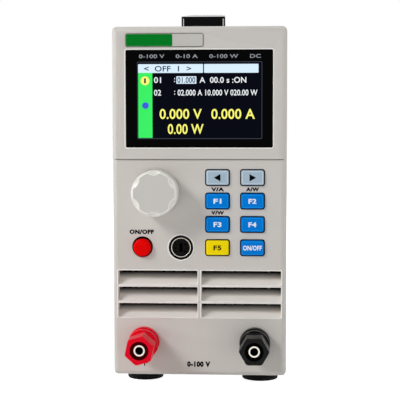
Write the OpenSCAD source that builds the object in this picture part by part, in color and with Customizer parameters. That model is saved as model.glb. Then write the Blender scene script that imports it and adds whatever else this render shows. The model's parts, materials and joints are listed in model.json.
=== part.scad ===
// Bench DC electronic load: moulded front bezel, folded steel case, strap handle and rubber feet.
// Lengths are in millimetres. +Z is up, the front faces -Y, the origin is on the floor below the middle.
// Modules draw in the panel frame (y = 0 on the display face, z = 0 at the bezel's lower edge).

/* [Front panel] */
// Width of the front bezel
panel_w = 88; // [84:1:110]
// Height of the front bezel
panel_h = 176.7; // [173:0.1:200]
// Depth of the front bezel
bezel_d = 20; // [20:0.5:32]
// Depth from the display face to the inside of the front wall
front_wall = 3.2; // [2.9:0.1:3.6]
// Thickness of the bezel's side walls
side_wall = 2.4; // [1.6:0.1:3]
// Rounding of the bezel's corners and front edges
edge_r = 3; // [1:0.1:3.4]
// How far the control area sits behind the display face
step_back = 1; // [0.4:0.1:1.2]
// Distance from the window to the step below it
step_gap = 5.7; // [3:0.1:7]

/* [Display] */
// Width of the display window
window_w = 74; // [64:0.5:76]
// Height of the display window
window_h = 49; // [44:0.5:51]
// Distance from the top of the bezel to the window
window_drop = 11.7; // [11.3:0.1:13]
// Thickness of the window pane
lens_t = 1.8; // [1:0.1:2]
// Ledge that the window pane seats on
lens_lip = 2; // [1:0.1:3]
// How far the pane sits below the display face
lens_set = 0.3; // [0:0.05:0.5]
// Depth of the display module
lcd_t = 5; // [3:0.1:7]
// Width of the bare badge plate
badge_w = 39.4; // [20:0.1:42]
// Height of the bare badge plate
badge_h = 6.9; // [4:0.1:7.2]
// Thickness of the badge plate
badge_t = 0.8; // [0.6:0.05:1.2]
// Depth of the badge plate's pocket
badge_pocket = 0.5; // [0.3:0.05:0.8]
// Middle of the badge plate from the bezel's left side
badge_side = 26.6; // [25:0.1:60]
// Middle of the badge plate from the top of the bezel
badge_drop = 6.95; // [6.7:0.05:7.3]

/* [Keys] */
// Width of a key cap
key_w = 11.4; // [8:0.1:14]
// Height of a key cap
key_h = 7.4; // [5:0.1:8.6]
// Corner radius of a key cap
key_r = 1; // [0.5:0.1:2]
// Gap round a key cap
key_gap = 0.4; // [0.3:0.05:0.6]
// How far a key cap stands out of the panel
key_proud = 1.6; // [1.3:0.1:3]
// Press travel of a key
key_travel = 1; // [0.5:0.1:1.2]
// Distance between the key columns
key_pitch_x = 17.6; // [17:0.1:20]
// Distance between the key rows
key_pitch_z = 11.8; // [11.6:0.1:12.4]
// Middle of the key block from the panel's middle
key_mid = 18; // [16:0.1:19]
// Distance from the step to the first key row
key_drop = 9.35; // [8:0.05:10.5]

/* [Knob] */
// Diameter of the adjusting knob
knob_d = 23; // [18:0.1:25]
// Length of the knob in front of the panel
knob_len = 14.5; // [13:0.1:18]
// Diameter of the knob's shaft
shaft_d = 6; // [4:0.1:6.4]
// Finger hollows round the knob's front edge
grip_count = 6; // [4:1:8]
// Middle of the knob from the bezel's left side
knob_side = 22.4; // [19:0.1:26]
// Distance from the step to the knob's middle
knob_drop = 16.7; // [15:0.1:18]

/* [Power button and sense socket] */
// Diameter of the power button's cap
power_d = 8.9; // [7:0.1:10]
// Gap round the power button
power_gap = 0.75; // [0.4:0.05:1]
// How far the latched power button stands out
power_proud = 3; // [2:0.1:6]
// How far the power button comes out when released
power_release = 2.5; // [1.5:0.1:3]
// Room between the power button and the sense socket
power_room = 9; // [6:0.1:10]
// Diameter of the sense socket
sense_d = 12.2; // [11:0.1:13]
// Diameter of the socket's metal shell
sense_shell_d = 10.2; // [9.4:0.1:10.6]
// Room between the sense socket and the keys beside it
sense_room = 6.7; // [4:0.1:8]

/* [Vents] */
// Rows of louvred slots
vent_rows = 3; // [1:1:3]
// Height of a slot
vent_h = 7.1; // [5:0.1:7.5]
// Rib between two rows
vent_rib = 1.25; // [0.8:0.05:1.6]
// Rib between the two blocks of slots
vent_mid = 2; // [1.2:0.1:6]
// Distance from the bezel's side to the slots
vent_side = 2.7; // [2.7:0.1:8]
// Height of the lowest slot
vent_z = 29.9; // [29.2:0.1:30.4]
// Depth of the louvres behind the front wall
louvre_d = 7; // [5:0.5:12]
// Height of the slit at the back of a louvre
louvre_slit = 1.8; // [1.2:0.1:4]

/* [Binding posts] */
// Distance of a post from the bezel's side
post_side = 15.9; // [14:0.1:22]
// Height of the posts
post_z = 17.3; // [16:0.1:18.4]
// Diameter of the post's flange
flange_d = 15.5; // [14:0.1:17]
// Thickness of the post's flange
flange_t = 4; // [2:0.1:5]
// Diameter of the clamping nut across its corners
nut_d = 15; // [13.4:0.1:17]
// Distance across the clamping nut's flats
nut_flat = 13; // [11.6:0.1:13.2]
// Length of the clamping nut
nut_len = 20.4; // [16:0.1:24]
// Diameter of the hollow in the nut's front face
nut_recess_d = 9.2; // [7:0.1:9.4]
// Diameter of the post's metal stem
stem_d = 5.5; // [5.4:0.1:6.2]
// Bore of the plug socket in the stem
socket_d = 4; // [3.8:0.1:4.2]
// Depth of the plug socket
socket_l = 15; // [10:0.5:16]
// How far the clamping nut unscrews
nut_lift = 5; // [2:0.5:6]

/* [Case] */
// Depth from the display face to the rear panel
body_d = 236; // [232:1:300]
// Thickness of the sheet steel
sheet = 1.2; // [0.8:0.1:1.6]
// How far the case sits inside the bezel's outline
case_set = 0.5; // [0.2:0.1:1]
// Outer bend radius of the cover
bend_r = 2; // [1.8:0.1:4]
// Height of the upper cover screws
screw_high = 150; // [130:1:155]
// Height of the lower cover screws
screw_low = 47; // [35:1:60]
// Rows of cooling slots in each side of the cover
slot_rows = 6; // [3:1:8]
// Length of a cooling slot
slot_l = 26; // [15:1:40]

/* [Feet] */
// Height from the floor to the bezel
foot_h = 7; // [4:0.5:10]
// Diameter of a rubber foot
foot_d = 20; // [14:0.5:21]
// Distance of a foot from the bezel's side
foot_side = 13.5; // [13:0.5:18]
// Distance of the front feet from the display face, and of the rear feet from the rear panel
foot_y = 31; // [31:1:45]

/* [Handle] */
// Distance from the display face to the handle
handle_y = 40; // [36:1:50]
// Length of the handle over its end caps
handle_l = 174; // [150:1:180]
// Width of an end cap at its outer end
cap_w = 23.4; // [21:0.1:28]
// Width of an end cap where the strap leaves it
cap_neck = 20; // [19.6:0.1:23]
// Height of an end cap at its outer end
cap_h = 8.5; // [8:0.1:10]
// Height of an end cap where the strap leaves it
cap_tall = 12.4; // [10:0.1:14]
// Length of an end cap
cap_l = 38; // [32:1:44]
// Thickness of an end cap's metal
cap_t = 1; // [0.6:0.1:1.4]
// Width of the strap
strap_w = 15.8; // [12:0.1:16.2]
// Thickness of the strap
strap_t = 3; // [2:0.1:3.2]
// Rise of the strap's middle above its ends
strap_rise = 6.5; // [5:0.1:14]
// Vertical play of the strap in its end caps
strap_play = 1.5; // [0.5:0.1:1.6]

/* [Rear] */
// Width of the cooling fan
fan_w = 60; // [50:1:60]
// Thickness of the cooling fan
fan_t = 25; // [20:1:26]
// Height of the fan's middle
fan_z = 44; // [42:0.5:48]
// Blades of the fan
fan_blades = 7; // [5:1:9]
// Height of the mains inlet's middle
inlet_z = 142; // [138:0.5:144]
// Distance of the mains inlet from the middle
inlet_x = -14; // [-16:0.5:16]
// How far the fuse drawer pulls out
drawer_pull = 18; // [10:1:20]
// Height of the data port's middle
port_z = 96; // [94:0.5:100]

/* [Inside] */
// Length of the heat sink
sink_l = 130; // [100:1:140]
// Fins between the heat sink's side walls
fin_count = 13; // [6:1:16]
// Height of the heat sink's upper face
sink_top = 66; // [62:0.5:70]
// Transistors along the heat sink
mosfet_count = 4; // [2:1:5]

/* [Hidden] */
$fn = 64;

// Clearances
fit_gap = 0.3; // between parts that move past each other
seat_gap = 0.1; // between parts that are fixed side by side
run_gap = 0.05; // round a shaft or stem in its bore
cut = 1; // overrun of a cutting tool

// Depths from the display face
face_y = step_back;
key_stack = 11.8;
board_y = front_wall + key_stack;
board_t = 1.6;
upright_y = bezel_d + fit_gap;
bar_gap = 5;
bar_y = upright_y + sheet + bar_gap;
bar_t = 1.5;

// Places on the front panel
badge_x = badge_side - panel_w / 2;
knob_x = knob_side - panel_w / 2;
post_x = panel_w / 2 - post_side;
window_z = panel_h - window_drop - window_h / 2;
step_z = panel_h - window_drop - window_h - step_gap;
key_row_z = [for (row = [0:3]) step_z - key_drop - row * key_pitch_z];
key_col_x = [key_mid - key_pitch_x / 2, key_mid + key_pitch_x / 2];
sense_x = key_col_x[0] - (key_w + sense_d) / 2 - sense_room;
power_x = sense_x - (sense_d + power_d) / 2 - power_room;
button_z = key_row_z[3];
knob_z = step_z - knob_drop;
vent_pitch = vent_h + vent_rib;
vent_top = vent_z + vent_rows * vent_pitch - vent_rib;
vent_w = (panel_w - vent_mid) / 2 - vent_side;
vent_x = (vent_mid + vent_w) / 2;
louvre_lip = 0.8;
louvre_wall = 1.5;

// Display
window_r = 0.8;
badge_r = 1.2;
lcd_lap = 1;
lcd_w = window_w - 2 * lens_lip + 2 * lcd_lap;
lcd_h = window_h - 2 * lens_lip + 2 * lcd_lap;
lcd_peg_d = 4;
lcd_peg_in = 6;

// Front circuit board
board_side = 7.5;
board_under = 7;
board_over = 1;
front_board_w = panel_w - 2 * (side_wall + board_side);
front_board_low = button_z - board_under;
front_board_top = panel_h - window_drop - board_over;

// Key and switch stack behind the panel
key_flange = 1;
key_flange_t = 1;
switch_w = 6;
switch_t = 3.5;
plunger_d = 3.5;
plunger_t = 1;
stem_w = 3;
key_edge = 0.8;
key_stem_end = board_y - switch_t - plunger_t - key_travel - fit_gap;

// Rotary encoder
encoder_w = 12;
encoder_t = 6.5;
bush_wall = 0.8;
bush_out = 6;
nut_rim = 2.2;
hollow_gap = 1;
bush_d = shaft_d + 2 * bush_wall;
bush_front = face_y - bush_out;
encoder_nut_t = 2;
encoder_nut_d = bush_d + 2 * nut_rim;
knob_hollow_d = encoder_nut_d + 2 * hollow_gap;
knob_hollow_end = bush_front - hollow_gap;
knob_front = face_y - knob_len;
knob_rear = face_y - 2 * fit_gap;
knob_cap_t = 2;
shaft_front = knob_front + knob_cap_t;
shaft_flat = shaft_d / 4;
shaft_in = 4;
shaft_end = board_y - encoder_t + shaft_in;
knob_bevel = 1;
grip_r = 9;
grip_out = 2.45;
grip_fore = 7.6;

// Power button
power_flange = 1.2;
power_push = 1;
power_front = face_y - power_proud;
power_flange_y = front_wall + power_release + fit_gap;
power_flange_t = 1;
power_body_y = power_flange_y + power_flange_t + power_push + fit_gap;
power_body_w = 8.5;
power_bevel = 0.8;
power_stem_d = 3;
power_stem_in = 3;
power_stem_end = power_body_y + power_stem_in;

// Sense socket
sense_proud = 0.4;
sense_shell_t = 0.5;
sense_l = 8;
sense_slot_w = 1.6;
sense_slot_h = 4.4;
sense_pin_d = 0.8;
sense_turn = 38;
sense_ring = 3;
sense_spots = [for (side = [-1, 1], angle = [-1, 0, 1] * sense_turn)
    sense_ring * [side * cos(angle), sin(angle)]];

// Binding posts
neck_d = 10;
neck_washer_d = 14;
thread_d = 5;
flange_front = face_y - flange_t;
washer_t = 1;
washer_front = flange_front - fit_gap - washer_t;
nut_rear = washer_front - fit_gap;
nut_front = nut_rear - nut_len;
nut_recess_l = 4;
collar_l = 4;
stem_set = 0.8;
stem_tail = 6;
stem_front = nut_front + stem_set;
stem_rear = bar_y + bar_t + stem_tail;
hex_t = 4;
hex_d = 9.2;
wire_d = 2.5;
wire_in = 2;
wire_y = nut_rear - wire_in;
flange_bevel = 0.8;
shoulder_out = 2;
stem_shoulder = face_y - shoulder_out;
washer_d = 11;
nut_bevel = 0.8;
scoop_r = 3;
scoop_dip = 0.8;
red_turn = 12;
black_turn = 30;

// Sheet metal case
cover_w = panel_w - 2 * case_set;
cover_h = panel_h - 2 * case_set;
cover_top = panel_h - case_set;
inner_w = cover_w - 2 * sheet;
tray_w = inner_w - 2 * seat_gap;
tray_top = case_set + sheet;
upright_top = cover_top - sheet - seat_gap;
rear_in = body_d - sheet;
tab_l = 14;
lip_h = 14;
screw_head_d = 5.6;
screw_head_t = 1.4;
low_head_t = 0.4;
head_side = 0.6; // share of a screw head's height that is straight
screw_d = 3;
screw_tail = 3;
fan_screw_l = 10;
boss_d = 6.5;
boss_off = 1;
boss_in = side_wall + boss_d / 2 + boss_off;
boss_spots = [for (x = [-1, 1], z = [boss_in, panel_h - boss_in]) [x * (panel_w / 2 - boss_in), z]];
pilot_d = 2.5;
screw_rear_y = body_d - tab_l / 2 - sheet;
screw_front_y = upright_y + tab_l / 2 + sheet;
air_w = 72;
air_low = 9;
air_over = 6;
air_top = vent_top + air_over;
air_r = 3;
cable_w = 40;
cable_h = 30;
slot_h = 3;
slot_gap = 8;
slot_pitch = 7;
slot_z = 22;
slot_front = 20;
slot_back = 26;
slot_from = upright_y + tab_l + slot_front;
slot_to = body_d - tab_l - slot_back;
slot_cols = floor((slot_to - slot_from + slot_gap) / (slot_l + slot_gap));
slot_spots = [for (k = [0:slot_cols - 1])
    (slot_from + slot_to) / 2 + (k - (slot_cols - 1) / 2) * (slot_l + slot_gap)];
foot_edge = 0.6;
foot_well_d = 7;
foot_floor = 3;
foot_seat = foot_floor - foot_h;
foot_x = panel_w / 2 - foot_side;
foot_spots = [for (x = [-1, 1], y = [foot_y, body_d - foot_y]) [x * foot_x, y]];

// Handle
handle_end = handle_y + handle_l;
anchor_h = cap_h - cap_t - seat_gap;
strap_low = cover_top + (anchor_h - strap_t - strap_play) / 2;
strap_inset = 14;
strap_lead = 2;
strap_steps = 40;
cap_r = 1.8;
handle_screw_in = 7;
handle_floor = 2;
handle_spots = [[0, handle_y + handle_screw_in], [0, handle_end - handle_screw_in]];

// Rear
fan_hub_d = 24;
fan_rim = 1.5;
fan_hole_d = fan_w - 2 * fan_rim;
fan_pitch = fan_w * 5 / 6;
fan_y = rear_in - fan_t;
fan_corner = 4;
fan_plate_t = 3;
fan_bearing_d = 8;
fan_bearing_l = 15;
fan_strut_w = 4;
fan_run = 1;
fan_hub_t = 2;
fan_blade_turn = 45;
fan_blade_t = 1.2;
fan_chord = 18;
guard_pitch = 12;
fan_shaft_d = 3;
guard_t = 2;
inlet_w = 27;
inlet_h = 46;
inlet_rim = 3;
inlet_flange_t = 2.5;
inlet_l = 22;
inlet_pitch = 40;
inlet_ear = 5;
inlet_r = 2;
drawer_w = 20;
drawer_h = 10;
drawer_l = 20;
drawer_rim = 3;
drawer_z = inlet_z - inlet_h / 2 + drawer_h / 2 + drawer_rim;
plug_w = 22.5;
plug_h = 15;
plug_l = 17;
plug_cut = 4;
blade_w = 2;
blade_h = 4;
blade_pitch = 7;
blade_in = 5;
plug_rim = 4;
plug_z = inlet_z + inlet_h / 2 - plug_h / 2 - plug_rim;
fuse_d = 5;
fuse_l = 15;
fuse_in = 2;
drawer_face_t = 1.5;
drawer_lap = 1.2;
port_pitch = 25;
port_ear = 3;
port_w = port_pitch + 2 * port_ear;
port_h = 12.5;
port_reach = 6;
port_r = 1.5;
port_body_w = 19;
port_body_h = 10;
port_body_l = 8;
port_flange_t = 1;
port_mouth_w = 17;
port_mouth_h = 8.6;
port_taper = 1;
contact_pitch = 2.8;
contact_d = 1.2;
jack_d = 5.5;
jack_l = 6;
rear_reach = max(port_reach, inlet_flange_t + screw_head_t, guard_t + screw_head_t);

// Inside
sink_gap = 27;
sink_side = 2;
sink_y = upright_y + sheet + sink_gap;
sink_w = tray_w - 2 * sheet - 2 * sink_side;
sink_base = 4;
sink_wall = 2.5;
fin_t = 1.4;
fin_bottom = 14;
pad_l = 20;
mosfet_w = 16;
mosfet_t = 5;
lower_gap = 8;
upper_gap = 36;
power_board_z = sink_top + lower_gap;
control_board_z = power_board_z + board_t + upper_gap;
board_w = sink_w;
pillar_d = 6;
pillar_in = 22;
bar_w = 10;
bar_lap = 12;
core_w = 44;
core_t = 20;
core_h = 36;
coil_w = 30;
coil_t = 34;
coil_h = 26;
pillar_spots = [for (x = [-1, 1], y = [sink_y + pillar_in, sink_y + sink_l - pillar_in])
    [x * (board_w / 2 - pillar_d), y]];

// The model is centred on its overall depth
front_y = -(nut_front + body_d + rear_reach) / 2;

// Moves a piece from the panel frame to the part's own frame
module in_place() {
    translate([0, front_y, foot_h])
        children();
}

// Flat outline with round corners
module round_rect(w, h, r) {
    square([w - 2 * r, h], center = true);
    square([w, h - 2 * r], center = true);
    for (x = [-1, 1], y = [-1, 1])
        translate([x * (w / 2 - r), y * (h / 2 - r)])
            circle(r);
}

// Upright plate of a flat outline, from y to y + t
module plate_at(x, y, z, t) {
    translate([x, y + t, z])
        rotate([90, 0, 0])
            linear_extrude(t)
                children();
}

// Round bar along +Y
module bar_y_at(x, y, z, d, l) {
    translate([x, y, z])
        rotate([-90, 0, 0])
            cylinder(d = d, h = l);
}

// Turned piece about an axis along +Y, from an outline of radius and distance
module turned_at(x, y, z) {
    translate([x, y, z])
        rotate([-90, 0, 0])
            rotate_extrude()
                children();
}

// Outline in the side view, swept across the width
module side_sweep(x, w) {
    translate([x - w / 2, 0, 0])
        rotate([90, 0, 90])
            linear_extrude(w)
                children();
}

// Box from its lowest corner, with x about the middle
module mid_box(x, y, z, w, d, h) {
    translate([x - w / 2, y, z])
        cube([w, d, h]);
}

// Screw with a low head: the head lies on z = 0 and the shank points to -Z
module screw(head_d, head_t, shank_d, shank_l) {
    rotate_extrude()
        polygon([
            [0, -shank_l], [shank_d / 2, -shank_l], [shank_d / 2, 0], [head_d / 2, 0],
            [head_d / 2, head_t * head_side], [head_d / 2 - head_t * (1 - head_side), head_t], [0, head_t]
        ]);
}

// Block with round corners in the front view and round front edges
module soft_block(x, y, z, w, h, d, corner, edge) {
    intersection() {
        plate_at(x, y, z, d)
            round_rect(w, h, corner);
        translate([x, y + d, z - h / 2])
            linear_extrude(h)
                round_rect(w, 2 * d, edge);
        side_sweep(x, w)
            translate([y + d, z])
                round_rect(2 * d, h, edge);
    }
}

// Outline of one louvre in the side view: a level ceiling and a floor that climbs to the back
module louvre_outline(z) {
    back = front_wall + louvre_d;
    polygon([
        [-cut, z], [face_y + louvre_lip, z], [back, z + vent_h - louvre_slit],
        [back + cut, z + vent_h - louvre_slit], [back + cut, z + vent_h], [-cut, z + vent_h]
    ]);
}

module front_bezel() {
    color("gainsboro") in_place() difference() {
        union() {
            difference() {
                union() {
                    soft_block(0, step_back, panel_h / 2, panel_w, panel_h, bezel_d - step_back,
                        edge_r, edge_r);
                    intersection() {
                        soft_block(0, 0, panel_h / 2, panel_w, panel_h, bezel_d, edge_r, edge_r);
                        mid_box(0, -cut, step_z, panel_w + 2 * cut, bezel_d + 2 * cut, panel_h);
                    }
                }
                mid_box(0, front_wall, side_wall, panel_w - 2 * side_wall, bezel_d,
                    panel_h - 2 * side_wall);
            }
            mid_box(0, front_wall - seat_gap, vent_z - louvre_wall,
                panel_w - 2 * side_wall + seat_gap, louvre_d + seat_gap,
                vent_top - vent_z + 2 * louvre_wall);
            for (spot = boss_spots)
                bar_y_at(spot[0], front_wall - seat_gap, spot[1], boss_d,
                    bezel_d - front_wall + seat_gap);
        }
        for (spot = boss_spots)
            bar_y_at(spot[0], front_wall + cut, spot[1], pilot_d, bezel_d);
        plate_at(0, -cut, window_z, lens_set + lens_t + seat_gap + cut)
            round_rect(window_w + 2 * seat_gap, window_h + 2 * seat_gap, window_r);
        plate_at(0, -cut, window_z, front_wall + 2 * cut)
            square([window_w - 2 * lens_lip, window_h - 2 * lens_lip], center = true);
        plate_at(badge_x, -cut, panel_h - badge_drop, badge_pocket + cut)
            round_rect(badge_w + 2 * seat_gap, badge_h + 2 * seat_gap, badge_r);
        for (x = key_col_x, z = key_row_z)
            plate_at(x, -cut, z, front_wall + 2 * cut)
                round_rect(key_w + 2 * key_gap, key_h + 2 * key_gap, key_r + key_gap);
        bar_y_at(knob_x, -cut, knob_z, bush_d + 4 * seat_gap, front_wall + 2 * cut);
        bar_y_at(power_x, -cut, button_z, power_d + 2 * power_gap, front_wall + 2 * cut);
        bar_y_at(sense_x, -cut, button_z, sense_d + 2 * seat_gap, front_wall + 2 * cut);
        for (side = [-1, 1])
            bar_y_at(side * post_x, -cut, post_z, neck_d + 2 * seat_gap, front_wall + 2 * cut);
        for (side = [-1, 1], row = [0:vent_rows - 1])
            side_sweep(side * vent_x, vent_w)
                louvre_outline(vent_z + row * vent_pitch);
    }
}

module display_window() {
    color("black") in_place()
        plate_at(0, lens_set, window_z, lens_t)
            round_rect(window_w, window_h, window_r);
}

module lcd_module() {
    color("darkslategray") in_place() {
        plate_at(0, front_wall + seat_gap, window_z, lcd_t)
            round_rect(lcd_w, lcd_h, window_r);
        for (x = [-1, 1], z = [-1, 1])
            bar_y_at(x * (lcd_w / 2 - lcd_peg_in), front_wall + lcd_t,
                window_z + z * (lcd_h / 2 - lcd_peg_in),
                lcd_peg_d, board_y - front_wall - lcd_t);
    }
}

module badge_plate() {
    color("green") in_place()
        plate_at(badge_x, badge_pocket - badge_t, panel_h - badge_drop, badge_t)
            round_rect(badge_w, badge_h, badge_r);
}

module front_board() {
    color("darkgreen") in_place()
        plate_at(0, board_y, (front_board_low + front_board_top) / 2, board_t)
            round_rect(front_board_w, front_board_top - front_board_low, window_r);
}

module key_switches() {
    color("dimgray") in_place()
        for (x = key_col_x, z = key_row_z) {
            mid_box(x, board_y - switch_t, z - switch_w / 2, switch_w, switch_t, switch_w);
            bar_y_at(x, board_y - switch_t - plunger_t, z, plunger_d, plunger_t + seat_gap);
        }
}

// One key: a soft-edged cap, a flange that holds it behind the panel and a stem above its switch
module key_cap(col, row, tint) {
    x = key_col_x[col];
    z = key_row_z[row];
    flange_y = front_wall + fit_gap;
    color(tint) in_place() {
        soft_block(x, face_y - key_proud, z, key_w, key_h, flange_y + key_flange_t - face_y + key_proud,
            key_r, key_edge);
        plate_at(x, flange_y, z, key_flange_t)
            round_rect(key_w + 2 * key_gap + 2 * key_flange, key_h + 2 * key_gap + 2 * key_flange, key_r);
        mid_box(x, flange_y, z - stem_w / 2, stem_w, key_stem_end - flange_y, stem_w);
    }
}

module key_left() {
    key_cap(0, 0, "lightsteelblue");
}

module key_right() {
    key_cap(1, 0, "lightsteelblue");
}

module key_escape() {
    key_cap(0, 1, "dodgerblue");
}

module key_enter() {
    key_cap(1, 1, "dodgerblue");
}

module key_mode() {
    key_cap(0, 2, "dodgerblue");
}

module key_trigger() {
    key_cap(1, 2, "dodgerblue");
}

module key_shift() {
    key_cap(0, 3, "gold");
}

module key_on_off() {
    key_cap(1, 3, "dodgerblue");
}

// Round bar along +Y with one flat side
module flatted_bar(y, d, l) {
    intersection() {
        bar_y_at(knob_x, y, knob_z, d, l);
        mid_box(knob_x, y, knob_z - d, 2 * d, l, d + shaft_flat + (d - shaft_d) / 2);
    }
}

module encoder_knob() {
    color("whitesmoke") in_place() difference() {
        turned_at(knob_x, 0, knob_z)
            polygon([
                [0, knob_rear], [knob_d / 2, knob_rear], [knob_d / 2, knob_front + knob_bevel],
                [knob_d / 2 - knob_bevel / 2, knob_front + knob_bevel / 4],
                [knob_d / 2 - knob_bevel, knob_front], [0, knob_front]
            ]);
        bar_y_at(knob_x, knob_hollow_end, knob_z, knob_hollow_d, knob_rear - knob_hollow_end + cut);
        flatted_bar(shaft_front, shaft_d + 2 * run_gap, knob_hollow_end - shaft_front + cut);
        for (k = [0:grip_count - 1])
            translate([knob_x, knob_front - grip_fore, knob_z])
                rotate([0, k * 360 / grip_count, 0])
                    translate([0, 0, knob_d / 2 + grip_out])
                        sphere(grip_r);
    }
}

module encoder_shaft() {
    color("silver") in_place() {
        flatted_bar(shaft_front + seat_gap, shaft_d, knob_hollow_end - shaft_front);
        bar_y_at(knob_x, knob_hollow_end, knob_z, shaft_d, shaft_end - knob_hollow_end);
    }
}

module encoder_body() {
    color("slategray") in_place() difference() {
        union() {
            mid_box(knob_x, board_y - encoder_t, knob_z - encoder_w / 2, encoder_w, encoder_t, encoder_w);
            bar_y_at(knob_x, bush_front, knob_z, bush_d, board_y - encoder_t - bush_front + seat_gap);
        }
        bar_y_at(knob_x, bush_front - cut, knob_z, shaft_d + 2 * run_gap,
            shaft_end + fit_gap - bush_front + cut);
    }
}

module encoder_nut() {
    color("silver") in_place() difference() {
        translate([knob_x, face_y - encoder_nut_t, knob_z])
            rotate([-90, 0, 0])
                cylinder(d = encoder_nut_d, h = encoder_nut_t, $fn = 6);
        bar_y_at(knob_x, face_y - encoder_nut_t - cut, knob_z, bush_d + 2 * seat_gap,
            encoder_nut_t + 2 * cut);
    }
}

module power_button() {
    r = power_d / 2;
    flange_r = r + power_gap + power_flange;
    flange_end = power_flange_y + power_flange_t;
    color("red") in_place()
        turned_at(power_x, 0, button_z)
            polygon([
                [0, power_front], [r - power_bevel, power_front], [r, power_front + power_bevel],
                [r, power_flange_y], [flange_r, power_flange_y], [flange_r, flange_end],
                [power_stem_d / 2, flange_end], [power_stem_d / 2, power_stem_end], [0, power_stem_end]
            ]);
}

module power_switch() {
    color("dimgray") in_place() difference() {
        mid_box(power_x, power_body_y, button_z - power_body_w / 2,
            power_body_w, board_y - power_body_y, power_body_w);
        bar_y_at(power_x, power_body_y - cut, button_z, power_stem_d + 2 * fit_gap,
            power_stem_end + power_push + fit_gap - power_body_y + cut);
    }
}

// Tube along +Y
module tube_y_at(x, y, z, outer, inner, l) {
    difference() {
        bar_y_at(x, y, z, outer, l);
        bar_y_at(x, y - cut, z, inner, l + 2 * cut);
    }
}

module sense_socket() {
    front = face_y - sense_proud;
    color("black") in_place() difference() {
        bar_y_at(sense_x, front, button_z, sense_d, board_y - front);
        tube_y_at(sense_x, front - cut, button_z, sense_shell_d + 2 * seat_gap,
            sense_shell_d - 2 * sense_shell_t - 2 * seat_gap, sense_l + cut);
        mid_box(sense_x, front - cut, button_z - sense_slot_h / 2, sense_slot_w, sense_l + cut,
            sense_slot_h);
        for (spot = sense_spots)
            bar_y_at(sense_x + spot[0], front - cut, button_z + spot[1], sense_pin_d + 2 * fit_gap,
                sense_l + cut);
    }
}

module sense_shell() {
    front = face_y - sense_proud;
    color("silver") in_place()
        tube_y_at(sense_x, front + seat_gap, button_z, sense_shell_d, sense_shell_d - 2 * sense_shell_t,
            sense_l - seat_gap);
}

module sense_contacts() {
    front = face_y - sense_proud;
    color("gold") in_place()
        for (spot = sense_spots)
            bar_y_at(sense_x + spot[0], front + sense_l / 4, button_z + spot[1], sense_pin_d,
                sense_l * 3 / 4);
}

// Insulating base of a binding post: a flange on the panel and a neck through it
module post_base(x, tint) {
    color(tint) in_place() difference() {
        union() {
            turned_at(x, 0, post_z)
                polygon([
                    [0, face_y], [flange_d / 2, face_y], [flange_d / 2, flange_front + flange_bevel],
                    [flange_d / 2 - flange_bevel, flange_front], [0, flange_front]
                ]);
            bar_y_at(x, face_y - seat_gap, post_z, neck_d, front_wall - face_y + seat_gap);
        }
        bar_y_at(x, flange_front - cut, post_z, stem_d + 2 * seat_gap,
            stem_shoulder - flange_front + cut);
        bar_y_at(x, flange_front, post_z, thread_d + 2 * seat_gap, front_wall - flange_front + cut);
    }
}

// Metal stem of a binding post: plug socket in front, cross hole for a wire, thread behind
module post_stem(x) {
    color("gold") in_place() difference() {
        union() {
            bar_y_at(x, stem_front, post_z, stem_d, stem_shoulder - stem_front);
            bar_y_at(x, stem_shoulder - seat_gap, post_z, thread_d, stem_rear - stem_shoulder);
        }
        bar_y_at(x, stem_front - cut, post_z, socket_d, socket_l + cut);
        translate([x, wire_y, post_z - stem_d])
            cylinder(d = wire_d, h = 2 * stem_d);
    }
}

// Thrust washer between a clamping nut and its base
module post_washer(x) {
    color("silver") in_place()
        tube_y_at(x, washer_front, post_z, washer_d, stem_d + 2 * run_gap, washer_t);
}

// Clamping nut: a round collar that runs into six flats through scooped ends
module post_nut(x, tint, turn) {
    flat_end = nut_rear - collar_l;
    color(tint) in_place() translate([x, 0, post_z]) difference() {
        turned_at(0, 0, 0)
            polygon([
                [0, nut_rear], [nut_d / 2 - nut_bevel, nut_rear], [nut_d / 2, nut_rear - nut_bevel],
                [nut_d / 2, nut_front + nut_bevel], [nut_d / 2 - nut_bevel / 2, nut_front], [0, nut_front]
            ]);
        bar_y_at(0, nut_front - cut, 0, stem_d + 2 * run_gap, nut_len + 2 * cut);
        bar_y_at(0, nut_front - cut, 0, nut_recess_d, nut_recess_l + cut);
        for (k = [0:5])
            rotate([0, turn + k * 60, 0]) {
                translate([nut_flat / 2, nut_front - cut, -nut_d / 2])
                    cube([nut_d, flat_end - nut_front + cut, nut_d]);
                translate([nut_flat / 2 + scoop_r - scoop_dip, flat_end - scoop_r, -nut_d / 2])
                    cylinder(r = scoop_r, h = nut_d);
            }
    }
}

module red_post_base() {
    post_base(-post_x, "crimson");
}

module red_post_stem() {
    post_stem(-post_x);
}

module red_post_washer() {
    post_washer(-post_x);
}

module red_post_nut() {
    post_nut(-post_x, "crimson", red_turn);
}

module black_post_base() {
    post_base(post_x, "black");
}

module black_post_stem() {
    post_stem(post_x);
}

module black_post_washer() {
    post_washer(post_x);
}

module black_post_nut() {
    post_nut(post_x, "black", black_turn);
}

// Hex nut along +Y on a post's thread
module hex_nut(x, y) {
    difference() {
        translate([x, y, post_z])
            rotate([-90, 0, 0])
                cylinder(d = hex_d, h = hex_t, $fn = 6);
        bar_y_at(x, y - cut, post_z, thread_d + 2 * run_gap, hex_t + 2 * cut);
    }
}

module post_hardware() {
    color("silver") in_place()
        for (x = [-post_x, post_x]) {
            tube_y_at(x, front_wall, post_z, neck_washer_d, thread_d + 2 * run_gap, washer_t);
            for (y = [front_wall + washer_t, bar_y - hex_t, bar_y + bar_t])
                hex_nut(x, y);
        }
}

// Cooling slot across both sides of the cover
module side_slot(y, z) {
    translate([-cover_w, y, z])
        rotate([90, 0, 90])
            linear_extrude(2 * cover_w) {
                square([slot_l - slot_h, slot_h], center = true);
                for (end = [-1, 1])
                    translate([end * (slot_l - slot_h) / 2, 0])
                        circle(d = slot_h);
            }
}

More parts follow.
